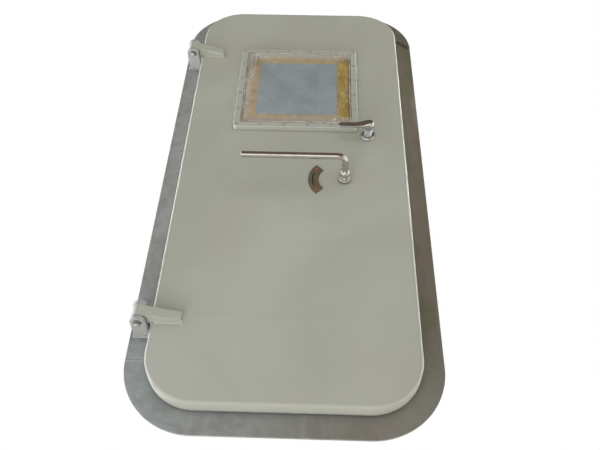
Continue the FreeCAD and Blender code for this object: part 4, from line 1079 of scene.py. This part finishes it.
def oval(centre, first, second, power=2.0, steps=40):
    """A ring between an ellipse (power 2) and a rounded rectangle (higher powers)."""
    ring = []
    for step in range(steps):
        angle = 2 * math.pi * step / steps
        across, up = math.cos(angle), math.sin(angle)
        across = math.copysign(abs(across) ** (2 / power), across)
        up = math.copysign(abs(up) ** (2 / power), up)
        ring.append(centre + first * across + second * up)
    return ring


# the lever's arm in mm: place from the spindle, half height, half depth, squareness and rise
ARM_SPANS = (
    (-7.0, 16.2, 15.5, 2.3, 4.6), (4.0, 16.4, 15.0, 2.6, 4.6), (13.0, 15.6, 12.0, 3.0, 3.8),
    (22.0, 13.8, 8.2, 3.8, 2.4), (33.0, 12.2, 5.8, 4.8, 1.0), (48.0, 11.4, 4.6, 5.6, 0.0),
    (72.0, 11.0, 4.3, 6.0, 0.0),
)
# the same near its tip, with the place counted back from the tip
TIP_SPANS = (
    (10.0, 10.6, 4.2, 5.0, 0.0), (4.5, 9.6, 4.0, 3.8, 0.0),
    (1.5, 7.4, 3.4, 2.8, 0.0), (0.0, 4.2, 2.2, 2.3, 0.0),
)


def lever_piece(node, way, look):
    """A cast lever: a flared neck, a full head and a flat-fronted arm, all run together."""
    low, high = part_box(node)
    hub = middle(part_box("latch_spindle"), 1, high.y if way is OUT else low.y)
    tip = (hub.x - low.x) / MM
    level = high.y - low.y - 17.5 * MM
    neck = scaled(((14.4, 0.0), (14.4, 8.0), (14.0, 20.0), (14.0, 44.0)))
    shape = Shape().lathe(hub, way, neck, 48)
    head = hub + way * (level + 3.0 * MM) + Vector((4.4 * MM, 0.0, 0.0))
    rings = []
    parts = 24
    for part in range(1, parts):
        angle = math.pi * part / parts
        spot = head + way * (-18.0 * MM * math.cos(angle))
        girth = math.sin(angle) ** 0.8
        rings.append(oval(spot, Vector((16.0 * MM * girth, 0, 0)), Vector((0, 0, 16.4 * MM * girth))))
    shape.loft(rings)
    rings = []
    ends = tuple((tip - back, *rest) for back, *rest in TIP_SPANS)
    for side, tall, deep, power, rise in ARM_SPANS + ends:
        spot = hub + way * (level + rise * MM) + Vector((-side * MM, 0, 0))
        rings.append(oval(spot, Vector((0, 0, tall * MM)), OUT * (deep * MM), power))
    shape.loft(rings)
    melt(piece(node + "_cast", shape, "lever", look, instead_of=node), 0.7 * MM, 6)


def melt(obj, grain, rounds):
    """Runs overlapping lumps together into one rounded casting."""
    remesh = obj.modifiers.new("one_casting", "REMESH")
    remesh.mode = "VOXEL"
    remesh.voxel_size = grain
    remesh.use_smooth_shade = True
    smooth = obj.modifiers.new("rounded", "SMOOTH")
    smooth.factor = 0.5
    smooth.iterations = rounds


# half of a rose's section, in radii and rises: bore, rolled rim and dished face
ROSE_PROFILE = (
    (0.57, 0.0), (1.0, 0.0), (1.0, 0.16), (0.985, 0.28), (0.955, 0.52), (0.91, 0.78), (0.86, 0.93),
    (0.81, 1.0), (0.77, 0.97), (0.70, 0.90), (0.63, 0.87), (0.57, 0.87),
)


def roses(look):
    for node, way in (("rose_outer", OUT), ("rose_inner", IN)):
        low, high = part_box(node)
        centre = middle((low, high), 1, high.y if way is OUT else low.y)
        profile = scaled(ROSE_PROFILE, (high.x - low.x) / 2, high.y - low.y)
        shape = Shape().lathe(centre, way, profile, 64, bored=True)
        piece(node + "_turned", shape, "leaf", look, instead_of=node)


def hub_cone(look):
    """The brushed cone at the bar handle's foot."""
    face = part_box("handle_outer")[1].y
    centre = middle(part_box("main_spindle"), 1, face)
    points = [v.co for v in NODES["handle_outer"].data.vertices]
    foot = max((p - centre).xz.length for p in points if p.y > face - 1 * MM and p.x > 0.15)
    profile = [(foot - 2 * MM, 0.1 * MM), (foot + 0.15 * MM, 0.1 * MM), (foot + 0.15 * MM, 3.1 * MM)]
    profile += [(foot - 1.2 * MM, 4.6 * MM), (foot - 6.4 * MM, 9.0 * MM), (foot - 9.0 * MM, 9.0 * MM)]
    shape = Shape().lathe(centre, OUT, profile, 56, bored=True)
    piece("hub_cone", shape, "main_handle", look)


def lever_sleeve(look):
    """The satin sleeve round the outer lever's neck."""
    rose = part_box("rose_outer")
    profile = scaled(((13.4, 0.0), (14.8, 0.0), (14.8, 2.0), (14.5, 4.0), (14.5, 26.0), (13.4, 27.5)))
    shape = Shape().lathe(middle(rose, 1, rose[0].y), OUT, profile, 56, bored=True)
    piece("lever_sleeve", shape, "lever", look)


# half sections of a hinge pin's ring nut and domed end, in radii and mm
NUT_PROFILE = (
    (0.60, 0.0), (1.0, 0.0), (1.0, 2.6), (0.94, 3.6), (0.84, 3.9), (0.76, 3.4), (0.73, 1.2), (0.60, 1.2),
)
DOME_PROFILE = ((0.58, 0.0), (0.60, 5.2), (0.55, 7.2), (0.42, 9.0), (0.22, 10.0), (0.02, 10.3))


def pin_nuts(dark, bright):
    """Ring nuts below the hinges, with the pin's domed end inside them; the rings' dark steel partly stands
    for painted shadow in the gap round the dome.
    """
    for name, profile, bored, look in (
        ("hinge_pin_rings", NUT_PROFILE, True, dark),
        ("hinge_pin_domes", DOME_PROFILE, False, bright),
    ):
        shape = Shape()
        for low, high in islands("hinge_pin_nuts"):
            turned = scaled(profile, (high.x - low.x) / 2)
            shape.lathe(middle((low, high), 2, high.z), (0, 0, -1), turned, 48, bored=bored)
        piece(name, shape, "frame", look, instead_of="hinge_pin_nuts")


def arc_band(centre, reach, steps, radii, heights):
    """A band round a centre, "reach" degrees each way from -X, between two radii and two heights."""
    (inner, outer), (bottom, top) = radii, heights
    rings = []
    for step in range(steps + 1):
        spoke = spoke_at(180.0 - reach + 2 * reach * step / steps)
        corners = ((inner, bottom), (inner, top), (outer, top), (outer, bottom))
        rings.append([centre + spoke * radius + OUT * height for radius, height in corners])
    shape = Shape()
    shape.loft(rings)
    return shape


def dial_scale(look, dark):
    """A raised band between the indicator plate's slot and its inner edge, and a black strip behind the slot:
    painted shadow that makes the slot look deep.
    """
    low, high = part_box("indicator_plate")
    half_angle = math.radians(45.0)
    outer = (high.z - low.z) / 2 / math.sin(half_angle)
    centre = Vector((low.x + outer, low.y, (low.z + high.z) / 2))
    inner = (centre.x - high.x) / math.cos(half_angle)
    scale = arc_band(centre, 22.0, 32, (inner + 3 * MM, inner + 15 * MM), (0.0, 0.4 * MM))
    piece("dial_scale", scale, "leaf", look, smooth=False)
    # painted shadow: a black strip on the leaf behind the slot
    centre.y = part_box("leaf_skin")[0].y
    slot = inner + 19.5 * MM
    floor = arc_band(centre, 25.0, 40, (slot - 3 * MM, slot + 3 * MM), (0.05 * MM, 0.6 * MM))
    piece("dial_slot_shadow", floor, "leaf", dark, smooth=False)


# ---------------- build

add_camera()
for lamp in LAMPS:
    add_lamp(*lamp)
add_world()
add_floor()
looks = make_looks()
dress_cad_nodes(looks)
painted_weld = weld_look("painted_weld", (0.43, 0.43, 0.375), (0.37, 0.365, 0.31))
flange_seams(looks["flange_steel"])
rough_seam(weld_look("seam_weld", (0.085, 0.080, 0.058), (0.050, 0.046, 0.044)))
ear_welds(weld_look("ear_weld", (0.325, 0.330, 0.310), (0.285, 0.290, 0.270)))
arm_welds(painted_weld)
coaming_weld(painted_weld)
screw_heads(looks["bright_zinc"])
gold_tape = tape_look("gold_tape", (0.50, 0.375, 0.115), (0.36, 0.260, 0.072), (0.62, 0.50, 0.19))
tape_strips(looks["paper_tape"], gold_tape)
clear_film(film_look("clear_film", 0.24, 0.50))
crumpled_tab(film_look("crumpled_film", 0.08, 1.6))
sealant(sealant_look())
film_edge(bead_look())
door_seal(looks["rubber"])
window_seals(looks["rubber"])
wool_slabs(looks["mineral_wool"])
lever_piece("lever_outer", OUT, looks["chrome"])
lever_piece("lever_inner", IN, looks["chrome"])
roses(looks["chrome"])
pin_nuts(looks["dark_steel"], looks["bright_zinc"])
hub_cone(looks["satin_steel"])
lever_sleeve(looks["satin_nickel"])
dial_scale(looks["dial_brass"], looks["rubber"])
bpy.context.scene.view_settings.view_transform = "Standard"
